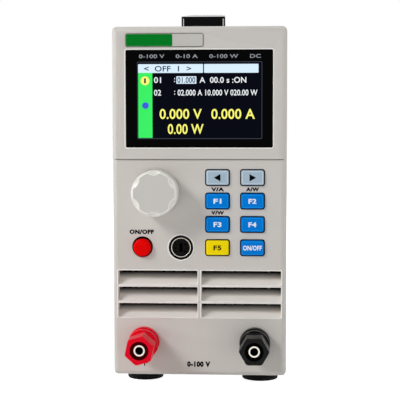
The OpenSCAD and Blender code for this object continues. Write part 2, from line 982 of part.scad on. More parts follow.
module case_cover() {
    length = body_d - upright_y;
    color("lightgray") in_place() difference() {
        plate_at(0, upright_y, panel_h / 2, length)
            round_rect(cover_w, cover_h, bend_r);
        plate_at(0, upright_y - cut, panel_h / 2, length + 2 * cut)
            round_rect(inner_w, cover_h - 2 * sheet, bend_r - sheet);
        mid_box(0, upright_y - cut, 0, inner_w, length + 2 * cut, panel_h / 2);
        mid_box(0, upright_y - cut, 0, 2 * cover_w, length + 2 * cut, case_set + bend_r);
        for (y = slot_spots, row = [0:slot_rows - 1])
            side_slot(y, slot_z + row * slot_pitch);
        for (y = [screw_front_y, screw_rear_y], z = [screw_low, screw_high])
            translate([-cover_w, y, z])
                rotate([0, 90, 0])
                    cylinder(d = screw_d + 2 * seat_gap, h = 2 * cover_w);
        for (spot = handle_spots)
            translate([spot[0], spot[1], panel_h / 2])
                cylinder(d = screw_d + 2 * seat_gap, h = panel_h);
    }
}

// Folded tabs along both sides of an upright sheet, with holes for the cover screws
module side_tabs(y, hole_y, low) {
    difference() {
        for (side = [-1, 1])
            mid_box(side * (tray_w - sheet) / 2, y, low, sheet, tab_l, upright_top - low);
        for (z = [screw_low, screw_high])
            translate([-cover_w, hole_y, z])
                rotate([0, 90, 0])
                    cylinder(d = screw_d + 2 * seat_gap, h = 2 * cover_w);
    }
}

module chassis_tray() {
    length = rear_in - seat_gap - upright_y;
    color("silver") in_place() {
        difference() {
            mid_box(0, upright_y, case_set, tray_w, length, sheet);
            for (spot = foot_spots)
                translate([spot[0], spot[1], 0])
                    cylinder(d = screw_d + 2 * seat_gap, h = panel_h / 2);
        }
        difference() {
            mid_box(0, upright_y, case_set, tray_w, sheet, upright_top - case_set);
            plate_at(0, upright_y - cut, (air_low + air_top) / 2, sheet + 2 * cut)
                round_rect(air_w, air_top - air_low, air_r);
            plate_at(0, upright_y - cut, window_z, sheet + 2 * cut)
                round_rect(cable_w, cable_h, air_r);
            for (spot = boss_spots)
                bar_y_at(spot[0], upright_y - cut, spot[1], screw_d + 2 * seat_gap, sheet + 2 * cut);
        }
        side_tabs(upright_y, screw_front_y, case_set);
        for (side = [-1, 1])
            mid_box(side * (tray_w - sheet) / 2, upright_y, case_set, sheet,
                length - tab_l - seat_gap, lip_h);
    }
}

module rear_panel() {
    color("silver") in_place() {
        difference() {
            mid_box(0, rear_in, case_set, tray_w, sheet, upright_top - case_set);
            bar_y_at(0, rear_in - cut, fan_z, fan_hole_d, sheet + 2 * cut);
            for (x = [-1, 1], z = [-1, 1])
                bar_y_at(x * fan_pitch / 2, rear_in - cut, fan_z + z * fan_pitch / 2,
                    screw_d + 2 * seat_gap, sheet + 2 * cut);
            plate_at(inlet_x, rear_in - cut, inlet_z, sheet + 2 * cut)
                square([inlet_w + 2 * seat_gap, inlet_h + 2 * seat_gap], center = true);
            plate_at(0, rear_in - cut, port_z, sheet + 2 * cut)
                round_rect(port_body_w + 2 * seat_gap, port_body_h + 2 * seat_gap, port_r);
            for (x = [-1, 1])
                bar_y_at(x * port_pitch / 2, rear_in - cut, port_z, screw_d + 2 * seat_gap,
                    sheet + 2 * cut);
        }
        side_tabs(rear_in - tab_l, screw_rear_y, tray_top + seat_gap);
    }
}

module rubber_feet() {
    top = case_set;
    color("black") in_place()
        for (spot = foot_spots)
            translate([spot[0], spot[1], 0])
                rotate_extrude()
                    polygon([
                        [screw_d / 2 + seat_gap, top], [foot_d / 2, top], [foot_d / 2, top - foot_edge],
                        [foot_d / 2 - foot_edge, -foot_h + foot_edge / 2],
                        [foot_d / 2 - 1.5 * foot_edge, -foot_h], [foot_well_d / 2, -foot_h],
                        [foot_well_d / 2, foot_seat], [screw_d / 2 + seat_gap, foot_seat]
                    ]);
}

module foot_screws() {
    color("silver") in_place()
        for (spot = foot_spots)
            translate([spot[0], spot[1], foot_seat])
                rotate([180, 0, 0])
                    screw(screw_head_d, screw_head_t, screw_d, tray_top + screw_tail - foot_seat);
}

// Solid form of an end cap, set in all round: it rises and narrows to the strap and its upper edges are round
module cap_form(inset, over) {
    w = cap_w - 2 * inset;
    neck = cap_neck - 2 * inset - (cap_w - cap_neck) / cap_l * over;
    r = cap_r - inset;
    top = cap_tall - inset;
    slope = (cap_tall - cap_h) / cap_l;
    translate([0, 0, cover_top])
        intersection() {
            side_sweep(0, w)
                polygon([
                    [-over, -over], [cap_l + over, -over], [cap_l + over, top + slope * over],
                    [-over, cap_h - inset - slope * over]
                ]);
            plate_at(0, -over, 0, cap_l + 2 * over) {
                translate([-w / 2, -over])
                    square([w, top - r + over]);
                translate([0, top / 2])
                    round_rect(w, top, r);
            }
            translate([0, 0, -over])
                linear_extrude(cap_tall + 2 * over)
                    polygon([
                        [-w / 2, -over], [w / 2, -over], [w / 2, 0], [neck / 2, cap_l + over],
                        [-neck / 2, cap_l + over], [-w / 2, 0]
                    ]);
        }
}

module handle_anchors() {
    slot_l = cap_l - strap_inset + fit_gap;
    color("black") in_place()
        for (end = [0, 1])
            handle_side(end) difference() {
                cap_form(cap_t + seat_gap, 0);
                mid_box(0, cap_l - slot_l, strap_low - fit_gap, strap_w + 2 * fit_gap, slot_l + cut,
                    strap_t + strap_play + 2 * fit_gap);
                translate([0, handle_screw_in, cover_top - cut])
                    cylinder(d = screw_d + 2 * seat_gap, h = cap_tall);
                translate([0, handle_screw_in, cover_top + handle_floor])
                    cylinder(d = screw_head_d + 2 * fit_gap, h = cap_tall);
            }
}

// Places one end of the handle: 0 is the front end, 1 the rear end, turned to face it
module handle_side(end) {
    translate([0, end == 0 ? handle_y : handle_end, 0])
        rotate([0, 0, end * 180])
            children();
}

module handle_caps() {
    color("silver") in_place()
        for (end = [0, 1])
            handle_side(end) difference() {
                cap_form(0, 0);
                cap_form(cap_t, cut);
            }
}

// Height of the strap's underside above its ends, at a distance from the front end of the handle
function strap_lift(y) =
    let (free = handle_l - 2 * (cap_l + strap_lead))
    let (part = min(max((y - cap_l - strap_lead) / free, 0), 1))
    strap_rise * (1 - cos(360 * part)) / 2;

module handle_strap() {
    run = handle_l - 2 * strap_inset;
    stations = [for (i = [0:strap_steps]) strap_inset + run * i / strap_steps];
    under = [for (y = stations) [handle_y + y, strap_low + strap_lift(y)]];
    over = [for (i = [strap_steps:-1:0]) [under[i][0], under[i][1] + strap_t]];
    color("black") in_place()
        side_sweep(0, strap_w)
            polygon(concat(under, over));
}

module handle_screws() {
    color("silver") in_place()
        for (spot = handle_spots)
            translate([spot[0], spot[1], cover_top + handle_floor])
                screw(screw_head_d, screw_head_t, screw_d, handle_floor + sheet + screw_tail);
}

module cover_screws() {
    color("silver") in_place()
        for (side = [-1, 1], y = [screw_front_y, screw_rear_y], z = [screw_low, screw_high])
            translate([side * cover_w / 2, y, z])
                rotate([0, side * 90, 0])
                    screw(screw_head_d, low_head_t, screw_d, 2 * sheet + screw_tail);
}

module bezel_screws() {
    color("silver") in_place()
        for (spot = boss_spots)
            translate([spot[0], upright_y + sheet, spot[1]])
                rotate([-90, 0, 0])
                    screw(screw_head_d, screw_head_t, pilot_d - 2 * run_gap, bezel_d / 2);
}

module fan_frame() {
    color("dimgray") in_place() {
        difference() {
            plate_at(0, fan_y, fan_z, fan_t)
                round_rect(fan_w, fan_w, fan_corner);
            bar_y_at(0, fan_y - cut, fan_z, fan_hole_d, fan_t + 2 * cut);
            for (x = [-1, 1], z = [-1, 1])
                bar_y_at(x * fan_pitch / 2, fan_y - cut, fan_z + z * fan_pitch / 2,
                    screw_d + 2 * seat_gap, fan_t + 2 * cut);
        }
        difference() {
            union() {
                bar_y_at(0, rear_in - fan_plate_t, fan_z, fan_hub_d, fan_plate_t);
                bar_y_at(0, rear_in - fan_bearing_l, fan_z, fan_bearing_d, fan_bearing_l);
                intersection() {
                    bar_y_at(0, rear_in - fan_plate_t, fan_z, fan_hole_d + fan_strut_w / 2, fan_plate_t);
                    translate([0, rear_in - fan_plate_t, fan_z])
                        for (turn = [45, 135])
                            rotate([0, turn, 0])
                                mid_box(0, 0, -fan_strut_w / 2, fan_w, fan_plate_t, fan_strut_w);
                }
            }
            bar_y_at(0, rear_in - fan_bearing_l - cut, fan_z, fan_shaft_d + 2 * run_gap,
                fan_bearing_l + 2 * cut);
        }
    }
}

module fan_rotor() {
    hub_end = rear_in - fan_plate_t - fan_run;
    hub_l = hub_end - fan_y - fan_run;
    color("black") in_place() translate([0, hub_end - hub_l, fan_z]) {
        difference() {
            bar_y_at(0, 0, 0, fan_hub_d, hub_l);
            bar_y_at(0, fan_hub_t, 0, fan_hub_d - 2 * fan_hub_t, hub_l);
        }
        bar_y_at(0, fan_hub_t - seat_gap, 0, fan_shaft_d, hub_l - fan_hub_t);
        intersection() {
            tube_y_at(0, 0, 0, fan_hole_d - 2 * fan_run, fan_hub_d - fan_hub_t, hub_l);
            for (k = [0:fan_blades - 1])
                rotate([0, k * 360 / fan_blades, 0])
                    translate([fan_w / 4, hub_l / 2, 0])
                        rotate([fan_blade_turn, 0, 0])
                            cube([fan_w / 2, fan_chord, fan_blade_t], center = true);
        }
    }
}

module fan_guard() {
    color("silver") in_place() translate([0, body_d, fan_z]) difference() {
        union() {
            for (d = [fan_hole_d:-guard_pitch:guard_pitch / 2])
                tube_y_at(0, 0, 0, d, d - 2 * guard_t, guard_t);
            for (turn = [45, 135])
                rotate([0, turn, 0])
                    mid_box(0, 0, -guard_t / 2, fan_pitch * sqrt(2), guard_t, guard_t);
            for (x = [-1, 1], z = [-1, 1])
                bar_y_at(x * fan_pitch / 2, 0, z * fan_pitch / 2, screw_head_d + guard_t, guard_t);
        }
        for (x = [-1, 1], z = [-1, 1])
            bar_y_at(x * fan_pitch / 2, -cut, z * fan_pitch / 2, screw_d + 2 * seat_gap,
                guard_t + 2 * cut);
    }
}

module fan_screws() {
    color("silver") in_place()
        for (x = [-1, 1], z = [-1, 1])
            translate([x * fan_pitch / 2, body_d + guard_t, fan_z + z * fan_pitch / 2])
                rotate([-90, 0, 0])
                    screw(screw_head_d, screw_head_t, screw_d, guard_t + sheet + fan_screw_l);
}

// Mouth of the mains inlet: a rectangle with two cut corners
module plug_outline() {
    w = plug_w / 2;
    h = plug_h / 2;
    polygon([[-w, -h], [w, -h], [w, h - plug_cut], [w - plug_cut, h], [-w + plug_cut, h],
        [-w, h - plug_cut]]);
}

module mains_inlet() {
    mouth = body_d + inlet_flange_t;
    color("black") in_place() difference() {
        union() {
            plate_at(inlet_x, body_d, inlet_z, inlet_flange_t) {
                round_rect(inlet_w + 2 * inlet_rim, inlet_h + 2 * inlet_rim, inlet_r);
                round_rect(inlet_pitch + 2 * inlet_ear, 2 * inlet_ear, inlet_r);
            }
            mid_box(inlet_x, body_d - inlet_l, inlet_z - inlet_h / 2, inlet_w, inlet_l + seat_gap,
                inlet_h);
        }
        plate_at(inlet_x, mouth - plug_l, plug_z, plug_l + cut)
            plug_outline();
        mid_box(inlet_x, mouth - drawer_l - fit_gap, drawer_z - drawer_h / 2 - fit_gap,
            drawer_w + 2 * fit_gap, drawer_l + fit_gap + cut, drawer_h + 2 * fit_gap);
        for (side = [-1, 1])
            bar_y_at(inlet_x + side * inlet_pitch / 2, body_d - cut, inlet_z,
                screw_d + 2 * seat_gap, inlet_flange_t + 2 * cut);
    }
}

module inlet_blades() {
    mouth = body_d + inlet_flange_t;
    color("silver") in_place()
        for (k = [-1, 0, 1])
            mid_box(inlet_x + k * blade_pitch, mouth - plug_l,
                plug_z - blade_h / 2 + (1 - abs(k)) * blade_h,
                blade_w, plug_l - blade_in, blade_h);
}

module fuse_drawer() {
    mouth = body_d + inlet_flange_t;
    color("black") in_place() difference() {
        union() {
            mid_box(inlet_x, mouth - drawer_l, drawer_z - drawer_h / 2, drawer_w,
                drawer_l + fit_gap, drawer_h);
            plate_at(inlet_x, mouth + fit_gap, drawer_z, drawer_face_t)
                round_rect(drawer_w + 2 * drawer_lap, drawer_h + 2 * drawer_lap, drawer_lap);
        }
        mid_box(inlet_x, mouth - drawer_l + fuse_in, drawer_z - fuse_d / 2, fuse_d + 2 * seat_gap,
            fuse_l + 2 * seat_gap, drawer_h);
        mid_box(inlet_x, mouth + fit_gap, drawer_z + drawer_h / 2, drawer_w / 2,
            drawer_face_t + cut, drawer_lap);
    }
}

module fuse() {
    mouth = body_d + inlet_flange_t;
    color("lightgray") in_place()
        bar_y_at(inlet_x, mouth - drawer_l + fuse_in + seat_gap, drawer_z, fuse_d, fuse_l);
}

// Mouth of the data port: a flat D
module port_outline(inset) {
    w = port_mouth_w / 2 - inset;
    h = port_mouth_h / 2 - inset;
    polygon([[-w + port_taper, -h], [w - port_taper, -h], [w, h], [-w, h]]);
}

module data_port() {
    color("silver") in_place() difference() {
        union() {
            plate_at(0, body_d, port_z, port_flange_t)
                round_rect(port_w, port_h, port_r);
            plate_at(0, body_d, port_z, port_reach)
                port_outline(0);
            plate_at(0, rear_in - port_body_l, port_z, sheet + port_body_l + seat_gap)
                round_rect(port_body_w, port_body_h, port_r);
        }
        for (row = [0, 1], k = [0:4 - row])
            bar_y_at((k - 2 + row / 2) * contact_pitch, body_d + port_flange_t,
                port_z + (0.5 - row) * contact_pitch,
                contact_d, port_reach);
        for (x = [-1, 1])
            bar_y_at(x * port_pitch / 2, body_d - cut, port_z, screw_d + 2 * seat_gap,
                port_flange_t + 2 * cut);
    }
}

module rear_screws() {
    color("silver") in_place() {
        for (side = [-1, 1])
            translate([inlet_x + side * inlet_pitch / 2, body_d + inlet_flange_t, inlet_z])
                rotate([-90, 0, 0])
                    screw(screw_head_d, screw_head_t, screw_d, inlet_flange_t);
        for (x = [-1, 1])
            translate([x * port_pitch / 2, body_d + port_flange_t, port_z])
                rotate([-90, 0, 0]) {
                    cylinder(d = jack_d, h = port_reach - port_flange_t - seat_gap, $fn = 6);
                    translate([0, 0, -jack_l])
                        cylinder(d = screw_d, h = jack_l + seat_gap);
                }
    }
}

module heat_sink() {
    color("lightgray") in_place() {
        mid_box(0, sink_y, sink_top - sink_base, sink_w, sink_l, sink_base);
        for (side = [-1, 1])
            mid_box(side * (sink_w - sink_wall) / 2, sink_y, tray_top, sink_wall, sink_l,
                sink_top - tray_top);
        for (k = [1:fin_count])
            mid_box(-sink_w / 2 + k * sink_w / (fin_count + 1), sink_y, fin_bottom,
                fin_t, sink_l, sink_top - fin_bottom - seat_gap);
    }
}

module mosfets() {
    pitch = sink_l / mosfet_count;
    color("black") in_place()
        for (side = [-1, 1], k = [0:mosfet_count - 1])
            mid_box(side * sink_w / 4, sink_y + (k + 0.5) * pitch - pad_l / 2, sink_top, mosfet_w,
                pad_l, mosfet_t);
}

module power_board() {
    color("darkgreen") in_place()
        mid_box(0, sink_y, power_board_z, board_w, sink_l, board_t);
}

module control_board() {
    color("darkgreen") in_place()
        mid_box(0, sink_y, control_board_z, board_w, sink_l, board_t);
}

module board_pillars() {
    color("goldenrod") in_place()
        for (spot = pillar_spots) {
            translate([spot[0], spot[1], sink_top])
                cylinder(d = pillar_d, h = lower_gap);
            translate([spot[0], spot[1], power_board_z + board_t])
                cylinder(d = pillar_d, h = upper_gap);
        }
}

module transformer() {
    middle = sink_y + sink_l / 2;
    low = control_board_z + board_t;
    color("peru") in_place() {
        mid_box(0, middle - core_t / 2, low, core_w, core_t, core_h);
        mid_box(0, middle - coil_t / 2, low + (core_h - coil_h) / 2, coil_w, coil_t, coil_h);
    }
}

module bus_bars() {
    low = post_z - bar_w / 2;
    top = power_board_z + board_t;
    color("darkorange") in_place()
        for (x = [-post_x, post_x])
            difference() {
                union() {
                    mid_box(x, bar_y, low, bar_w, bar_t, top + bar_t - low);
                    mid_box(x, bar_y, top, bar_w, sink_y + bar_lap - bar_y, bar_t);
                }
                bar_y_at(x, bar_y - cut, post_z, thread_d + 2 * seat_gap, bar_t + 2 * cut);
            }
}

front_bezel();
display_window();
lcd_module();
badge_plate();
front_board();
key_switches();
key_left();
key_right();
key_escape();
key_enter();
key_mode();
key_trigger();
key_shift();
key_on_off();
encoder_knob();
encoder_shaft();
encoder_body();
encoder_nut();
power_button();
power_switch();
sense_socket();
sense_shell();
sense_contacts();
red_post_base();
red_post_stem();
red_post_washer();
red_post_nut();
black_post_base();
black_post_stem();
black_post_washer();
black_post_nut();
post_hardware();
case_cover();
chassis_tray();
rear_panel();
rubber_feet();
foot_screws();
handle_anchors();
handle_caps();
handle_strap();
handle_screws();
cover_screws();
bezel_screws();
fan_frame();
fan_rotor();
fan_guard();
fan_screws();
mains_inlet();
inlet_blades();
fuse_drawer();
fuse();
data_port();
rear_screws();
heat_sink();
mosfets();
power_board();
control_board();
board_pillars();
transformer();
bus_bars();
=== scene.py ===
"""Looks of a bench DC electronic load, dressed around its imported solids.

Lengths are in metres in the part's own frame: +Z is up, the front panel faces -Y and the floor is z = 0.
"""

import json
import logging
import math
from dataclasses import dataclass, replace
from enum import Enum
from itertools import product
from typing import Callable, Sequence

import bmesh
import bpy
import numpy as np
from mathutils import Matrix, Vector

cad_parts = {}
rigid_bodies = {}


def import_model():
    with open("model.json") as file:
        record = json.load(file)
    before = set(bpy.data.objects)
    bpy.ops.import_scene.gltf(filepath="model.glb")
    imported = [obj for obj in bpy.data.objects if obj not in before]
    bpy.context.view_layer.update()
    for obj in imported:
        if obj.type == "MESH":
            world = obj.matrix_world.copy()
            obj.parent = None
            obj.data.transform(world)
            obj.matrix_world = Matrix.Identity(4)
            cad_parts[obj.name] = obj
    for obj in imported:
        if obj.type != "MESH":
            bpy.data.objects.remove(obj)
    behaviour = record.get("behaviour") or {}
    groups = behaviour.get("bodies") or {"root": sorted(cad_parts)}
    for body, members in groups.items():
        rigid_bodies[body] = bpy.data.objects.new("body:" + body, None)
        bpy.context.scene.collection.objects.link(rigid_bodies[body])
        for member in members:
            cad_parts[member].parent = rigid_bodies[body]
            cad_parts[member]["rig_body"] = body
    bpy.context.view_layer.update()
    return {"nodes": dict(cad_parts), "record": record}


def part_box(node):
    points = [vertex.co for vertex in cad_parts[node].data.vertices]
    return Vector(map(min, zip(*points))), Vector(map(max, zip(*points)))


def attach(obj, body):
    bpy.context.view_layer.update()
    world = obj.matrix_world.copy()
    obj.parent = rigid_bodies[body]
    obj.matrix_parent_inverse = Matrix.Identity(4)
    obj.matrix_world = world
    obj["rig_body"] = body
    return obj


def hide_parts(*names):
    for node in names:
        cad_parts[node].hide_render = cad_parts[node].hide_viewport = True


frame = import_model()
LOG = logging.getLogger("load_scene")
MM = 0.001
ROOT = "chassis"
PRINT_T = 0.03 * MM
STEP_BACK = 1.0 * MM  # the lower panel's face behind the display's
WELD = 0.002 * MM  # points closer than this become one
SPECK = 0.001 * MM  # edges shorter than this go
FLAT_ANGLE = math.radians(0.4)  # faces that turn by less become one
SHARP_ANGLE = math.radians(32)  # edges that turn by more are rounded
LOOKS_AHEAD = -0.95  # y of a normal that points forwards
LOOKS_BACK = 0.5  # y of a normal above which a face looks back
ROUND_END = 0.45  # corner radius of a round-ended bar, by its width
GLYPH_DEPTH = 0.01  # any depth: words() sets its own
GLYPH_STEPS = 4
GLYPH_SPREAD = 2.0  # spacing that each unit of bold adds
COAT_ROUGH = 0.05
PEBBLES = 0.8  # share of rounded cells in pebbled vinyl
BRUSHING = (1.0, 0.04, 1.0)  # relief drawn out along y
MID_GREY = (0.5, 0.5, 0.5, 1.0)
WHITE = (1.0, 1.0, 1.0, 1.0)
DARK = (0.0, 0.0, 0.0, 1.0)
Colour = tuple[float, float, float]
FaceRule = Callable[[np.ndarray, np.ndarray], np.ndarray]


def linear(colour: Colour) -> tuple[float, float, float, float]:
    """Turns a display colour into a shader colour by the sRGB curve.

    Args:
        colour: red, green and blue from 0 to 255.

    Returns:
        Linear red, green, blue and a full alpha.
    """
    share = np.asarray(colour, float) / 255.0
    light = np.where(share <= 0.04045, share / 12.92, ((share + 0.055) / 1.055) ** 2.4)
    return (*light.tolist(), 1.0)


class Grain(Enum):
    """How a surface is broken up at the scale of a fingertip."""

    MOULDED = "fine spark-eroded mould texture"
    SATIN = "almost smooth moulding"
    POWDER = "orange-peel powder coat"
    RUBBER = "matt rubber"
    VINYL = "pebbled vinyl"
    BRUSHED = "straight brushing"
    PLATED = "bright plating"
    GLASS = "polished pane"
    SCREEN = "lit display dots"
    PRINT = "screen-printed ink"


class Groups:
    """Shader node groups that several finishes share, each made once."""

    @staticmethod
    def _start(name: str, inputs: dict[str, object], outputs: Sequence[str]) -> tuple:
        """Makes an empty group with named sockets.

        Args:
            name: the group's name.
            inputs: socket name to its default: one number, three for a vector or four for a colour.
            outputs: socket names; Color carries a colour and any other a number.

        Returns:
            The group's tree, its input node and its output node.
        """
        kinds = {1: "NodeSocketFloat", 3: "NodeSocketVector", 4: "NodeSocketColor"}
        tree = bpy.data.node_groups.new(name, "ShaderNodeTree")
        for socket, value in inputs.items():
            kind = kinds[np.size(value)]
            tree.interface.new_socket(socket, in_out="INPUT", socket_type=kind).default_value = value
        for socket in outputs:
            kind = kinds[4 if socket == "Color" else 1]
            tree.interface.new_socket(socket, in_out="OUTPUT", socket_type=kind)
        return tree, tree.nodes.new("NodeGroupInput"), tree.nodes.new("NodeGroupOutput")

    @staticmethod
    def math_node(
        tree: bpy.types.NodeTree, operation: str, fixed: tuple[int, float] | None = None
    ) -> bpy.types.Node:
        """Adds a Math node.

        Args:
            tree: the group's tree.
            operation: what the node works out.
            fixed: a socket's number and the value set on it.

        Returns:
            The node.
        """
        node = tree.nodes.new("ShaderNodeMath")
        node.operation = operation
        if fixed:
            node.inputs[fixed[0]].default_value = fixed[1]
        return node

    @staticmethod
    def wire(tree: bpy.types.NodeTree, *wires: tuple) -> None:
        """Links nodes.

        Args:
            tree: the group's tree.
            wires: a node, its output, the next node and its input, for each link.
        """
        for start, output, end, entry in wires:
            tree.links.new(start.outputs[output], end.inputs[entry])

    @staticmethod
    def mottle() -> bpy.types.NodeTree:
        """Slow drift of colour and gloss: noise on Object coordinates, mapped round 1.

        Returns:
            The group's tree, with Color and Roughness outputs.
        """
        name = "surface_mottle"
        if name in bpy.data.node_groups:
            return bpy.data.node_groups[name]
        inputs = {"Color": MID_GREY, "Scale": 60.0, "Drift": 0.04, "Roughness": 0.5, "Gloss Drift": 0.06}
        tree, source, sink = Groups._start(name, inputs, ("Color", "Roughness"))
        place = tree.nodes.new("ShaderNodeTexCoord")
        noise = tree.nodes.new("ShaderNodeTexNoise")
        noise.inputs["Detail"].default_value = 6.0
        centred = Groups.math_node(tree, "SUBTRACT", (1, 0.5))
        tint = Groups.math_node(tree, "MULTIPLY_ADD", (2, 1.0))
        shade = tree.nodes.new("ShaderNodeHueSaturation")
        gloss = Groups.math_node(tree, "MULTIPLY_ADD")
        gloss.use_clamp = True
        Groups.wire(
            tree,
            (place, "Object", noise, "Vector"),
            (source, "Scale", noise, "Scale"),
            (noise, "Fac", centred, 0),
            (centred, 0, tint, 0),
            (source, "Drift", tint, 1),
            (tint, 0, shade, "Value"),
            (source, "Color", shade, "Color"),
            (centred, 0, gloss, 0),
            (source, "Gloss Drift", gloss, 1),
            (source, "Roughness", gloss, 2),
            (shade, "Color", sink, "Color"),
            (gloss, 0, sink, "Roughness"),
        )
        return tree

    @staticmethod
    def relief() -> bpy.types.NodeTree:
        """Fine relief: a fractal noise plus rounded cells, both on stretched Object coordinates.

        Returns:
            The group's tree, with a Height output.
        """
        name = "fine_relief"
        if name in bpy.data.node_groups:
            return bpy.data.node_groups[name]
        inputs = {"Scale": 2500.0, "Stretch": (1.0, 1.0, 1.0), "Pebbles": 0.0}
        tree, source, sink = Groups._start(name, inputs, ("Height",))
        place = tree.nodes.new("ShaderNodeTexCoord")
        stretch = tree.nodes.new("ShaderNodeVectorMath")
        stretch.operation = "MULTIPLY"
        noise = tree.nodes.new("ShaderNodeTexNoise")
        noise.inputs["Detail"].default_value = 3.0
        cells = tree.nodes.new("ShaderNodeTexVoronoi")
        cells.feature = "SMOOTH_F1"
        mixed = tree.nodes.new("ShaderNodeMix")
        mixed.data_type = "FLOAT"
        Groups.wire(
            tree,
            (place, "Object", stretch, 0),
            (source, "Stretch", stretch, 1),
            (stretch, 0, noise, "Vector"),
            (source, "Scale", noise, "Scale"),
            (stretch, 0, cells, "Vector"),
            (source, "Scale", cells, "Scale"),
            (source, "Pebbles", mixed, 0),
            (noise, "Fac", mixed, 2),
            (cells, "Distance", mixed, 3),
            (mixed, 0, sink, "Height"),
        )
        return tree

    @staticmethod
    def dots() -> bpy.types.NodeTree:
        """Display dots: sine lines across and up the screen darken the lit colour between pixels.

        Returns:
            The group's tree, with a Color output.
        """
        name = "display_dots"
        if name in bpy.data.node_groups:
            return bpy.data.node_groups[name]
        inputs = {"Color": WHITE, "Pitch": 5200.0, "Depth": 0.1}
        tree, source, sink = Groups._start(name, inputs, ("Color",))
        place = tree.nodes.new("ShaderNodeTexCoord")
        parts = tree.nodes.new("ShaderNodeSeparateXYZ")
        both = Groups.math_node(tree, "MULTIPLY")
        level = Groups.math_node(tree, "MULTIPLY_ADD", (2, 1.0))
        shade = tree.nodes.new("ShaderNodeHueSaturation")
        for entry, axis in enumerate(("X", "Z")):
            turn = Groups.math_node(tree, "MULTIPLY")
            wave = Groups.math_node(tree, "SINE")
            Groups.wire(
                tree,
                (parts, axis, turn, 0),
                (source, "Pitch", turn, 1),
                (turn, 0, wave, 0),
                (wave, 0, both, entry),
            )
        Groups.wire(
            tree,
            (place, "Object", parts, 0),
            (both, 0, level, 0),
            (source, "Depth", level, 1),
            (source, "Color", shade, "Color"),
            (level, 0, shade, "Value"),
            (shade, "Color", sink, "Color"),
        )
        return tree

    @staticmethod
    def depth_shade() -> bpy.types.NodeTree:
        """Painted shade along +Y: the colour's value falls from 1 at a near plane to the shaded level at a
        far one.

        Returns:
            The group's tree, with a Color output.
        """
        name = "depth_fade"
        if name in bpy.data.node_groups:
            return bpy.data.node_groups[name]
        inputs = {"Color": WHITE, "Near": 0.0, "Far": 1.0, "Shaded": 0.5}
        tree, source, sink = Groups._start(name, inputs, ("Color",))
        place = tree.nodes.new("ShaderNodeTexCoord")
        parts = tree.nodes.new("ShaderNodeSeparateXYZ")
        level = tree.nodes.new("ShaderNodeMapRange")
        level.inputs["To Min"].default_value = 1.0
        shade = tree.nodes.new("ShaderNodeHueSaturation")
        Groups.wire(
            tree,
            (place, "Object", parts, 0),
            (parts, "Y", level, "Value"),
            (source, "Near", level, "From Min"),
            (source, "Far", level, "From Max"),
            (source, "Shaded", level, "To Max"),
            (source, "Color", shade, "Color"),
            (level, "Result", shade, "Value"),
            (shade, "Color", sink, "Color"),
        )
        return tree


@dataclass(frozen=True)
class Finish:
    """One surface finish: its colour, gloss and the grain that breaks it up."""

    name: str
    colour: Colour
    grain: Grain
    rough: float = 0.5
    relief_mm: float = 0.4
    bump: float = 0.1
    drift: float = 0.05
    gloss_drift: float = 0.08
    metal: float = 0.0
    coat: float = 0.0
    glow: float = 0.0
    spec: float = 0.5
    # painted shade along +Y: near plane, far plane and the colour's value at the far plane
    depth_shade: tuple[float, float, float] | None = None

    def material(self) -> bpy.types.Material:
        """Builds the finish's material once.

        Returns:
            The material, the same one on every later call.
        """
        if self.name in bpy.data.materials:
            return bpy.data.materials[self.name]
        made = bpy.data.materials.new(self.name)
        made.use_nodes = True
        tree = made.node_tree
        shader = tree.nodes["Principled BSDF"]
        shader.inputs["Metallic"].default_value = self.metal
        shader.inputs["Coat Weight"].default_value = self.coat
        shader.inputs["Coat Roughness"].default_value = COAT_ROUGH
        shader.inputs["Specular IOR Level"].default_value = self.spec
        made.diffuse_color = linear(self.colour)
        if self.grain is Grain.SCREEN:
            self._light(tree, shader)
        else:
            self._colour(tree, shader)
            self._relief(tree, shader)
        return made

    @staticmethod
    def _group(
        tree: bpy.types.NodeTree, group: bpy.types.NodeTree, values: dict[str, object]
    ) -> bpy.types.Node:
        """Adds a shared group to a material.

        Args:
            tree: the material's tree.
            group: the group's tree.
            values: socket name to the value set on it.

        Returns:
            The group's node.
        """
        node = tree.nodes.new("ShaderNodeGroup")
        node.node_tree = group
        for socket, value in values.items():
            node.inputs[socket].default_value = value
        return node

    def _colour(self, tree: bpy.types.NodeTree, shader: bpy.types.Node) -> None:
        """Feeds the drifting colour and gloss to the shader, with painted shade along +Y where the finish has
        it.

        Args:
            tree: the material's tree.
            shader: its surface shader.
        """
        colour = {"Color": linear(self.colour)}
        gloss = {"Roughness": self.rough, "Drift": self.drift, "Gloss Drift": self.gloss_drift}
        mottle = self._group(tree, Groups.mottle(), colour | gloss)
        if self.depth_shade:
            depth = dict(zip(("Near", "Far", "Shaded"), self.depth_shade))
            depth_shade = self._group(tree, Groups.depth_shade(), colour | depth)
            Groups.wire(tree, (depth_shade, "Color", mottle, "Color"))
        Groups.wire(tree, (mottle, "Color", shader, "Base Color"), (mottle, "Roughness", shader, "Roughness"))

    def _relief(self, tree: bpy.types.NodeTree, shader: bpy.types.Node) -> None:
        """Feeds the grain's relief to the shader through a bump node.

        Args:
            tree: the material's tree.
            shader: its surface shader.
        """
        size = self.relief_mm * MM
        values = {"Scale": 1.0 / size, "Pebbles": PEBBLES if self.grain is Grain.VINYL else 0.0}
        if self.grain is Grain.BRUSHED:
            values["Stretch"] = BRUSHING
        relief = self._group(tree, Groups.relief(), values)
        bump = tree.nodes.new("ShaderNodeBump")
        bump.inputs["Strength"].default_value = self.bump
        bump.inputs["Distance"].default_value = size * 0.5
        Groups.wire(tree, (relief, "Height", bump, "Height"), (bump, "Normal", shader, "Normal"))

    def _light(self, tree: bpy.types.NodeTree, shader: bpy.types.Node) -> None:
        """Feeds the display's dotted colour to the shader's emission.

        Args:
            tree: the material's tree.
            shader: its surface shader.
        """
        dots = self._group(tree, Groups.dots(), {"Color": linear(self.colour)})
        shader.inputs["Base Color"].default_value = DARK
        shader.inputs["Roughness"].default_value = self.rough
        shader.inputs["Emission Strength"].default_value = self.glow
        Groups.wire(tree, (dots, "Color", shader, "Emission Color"))


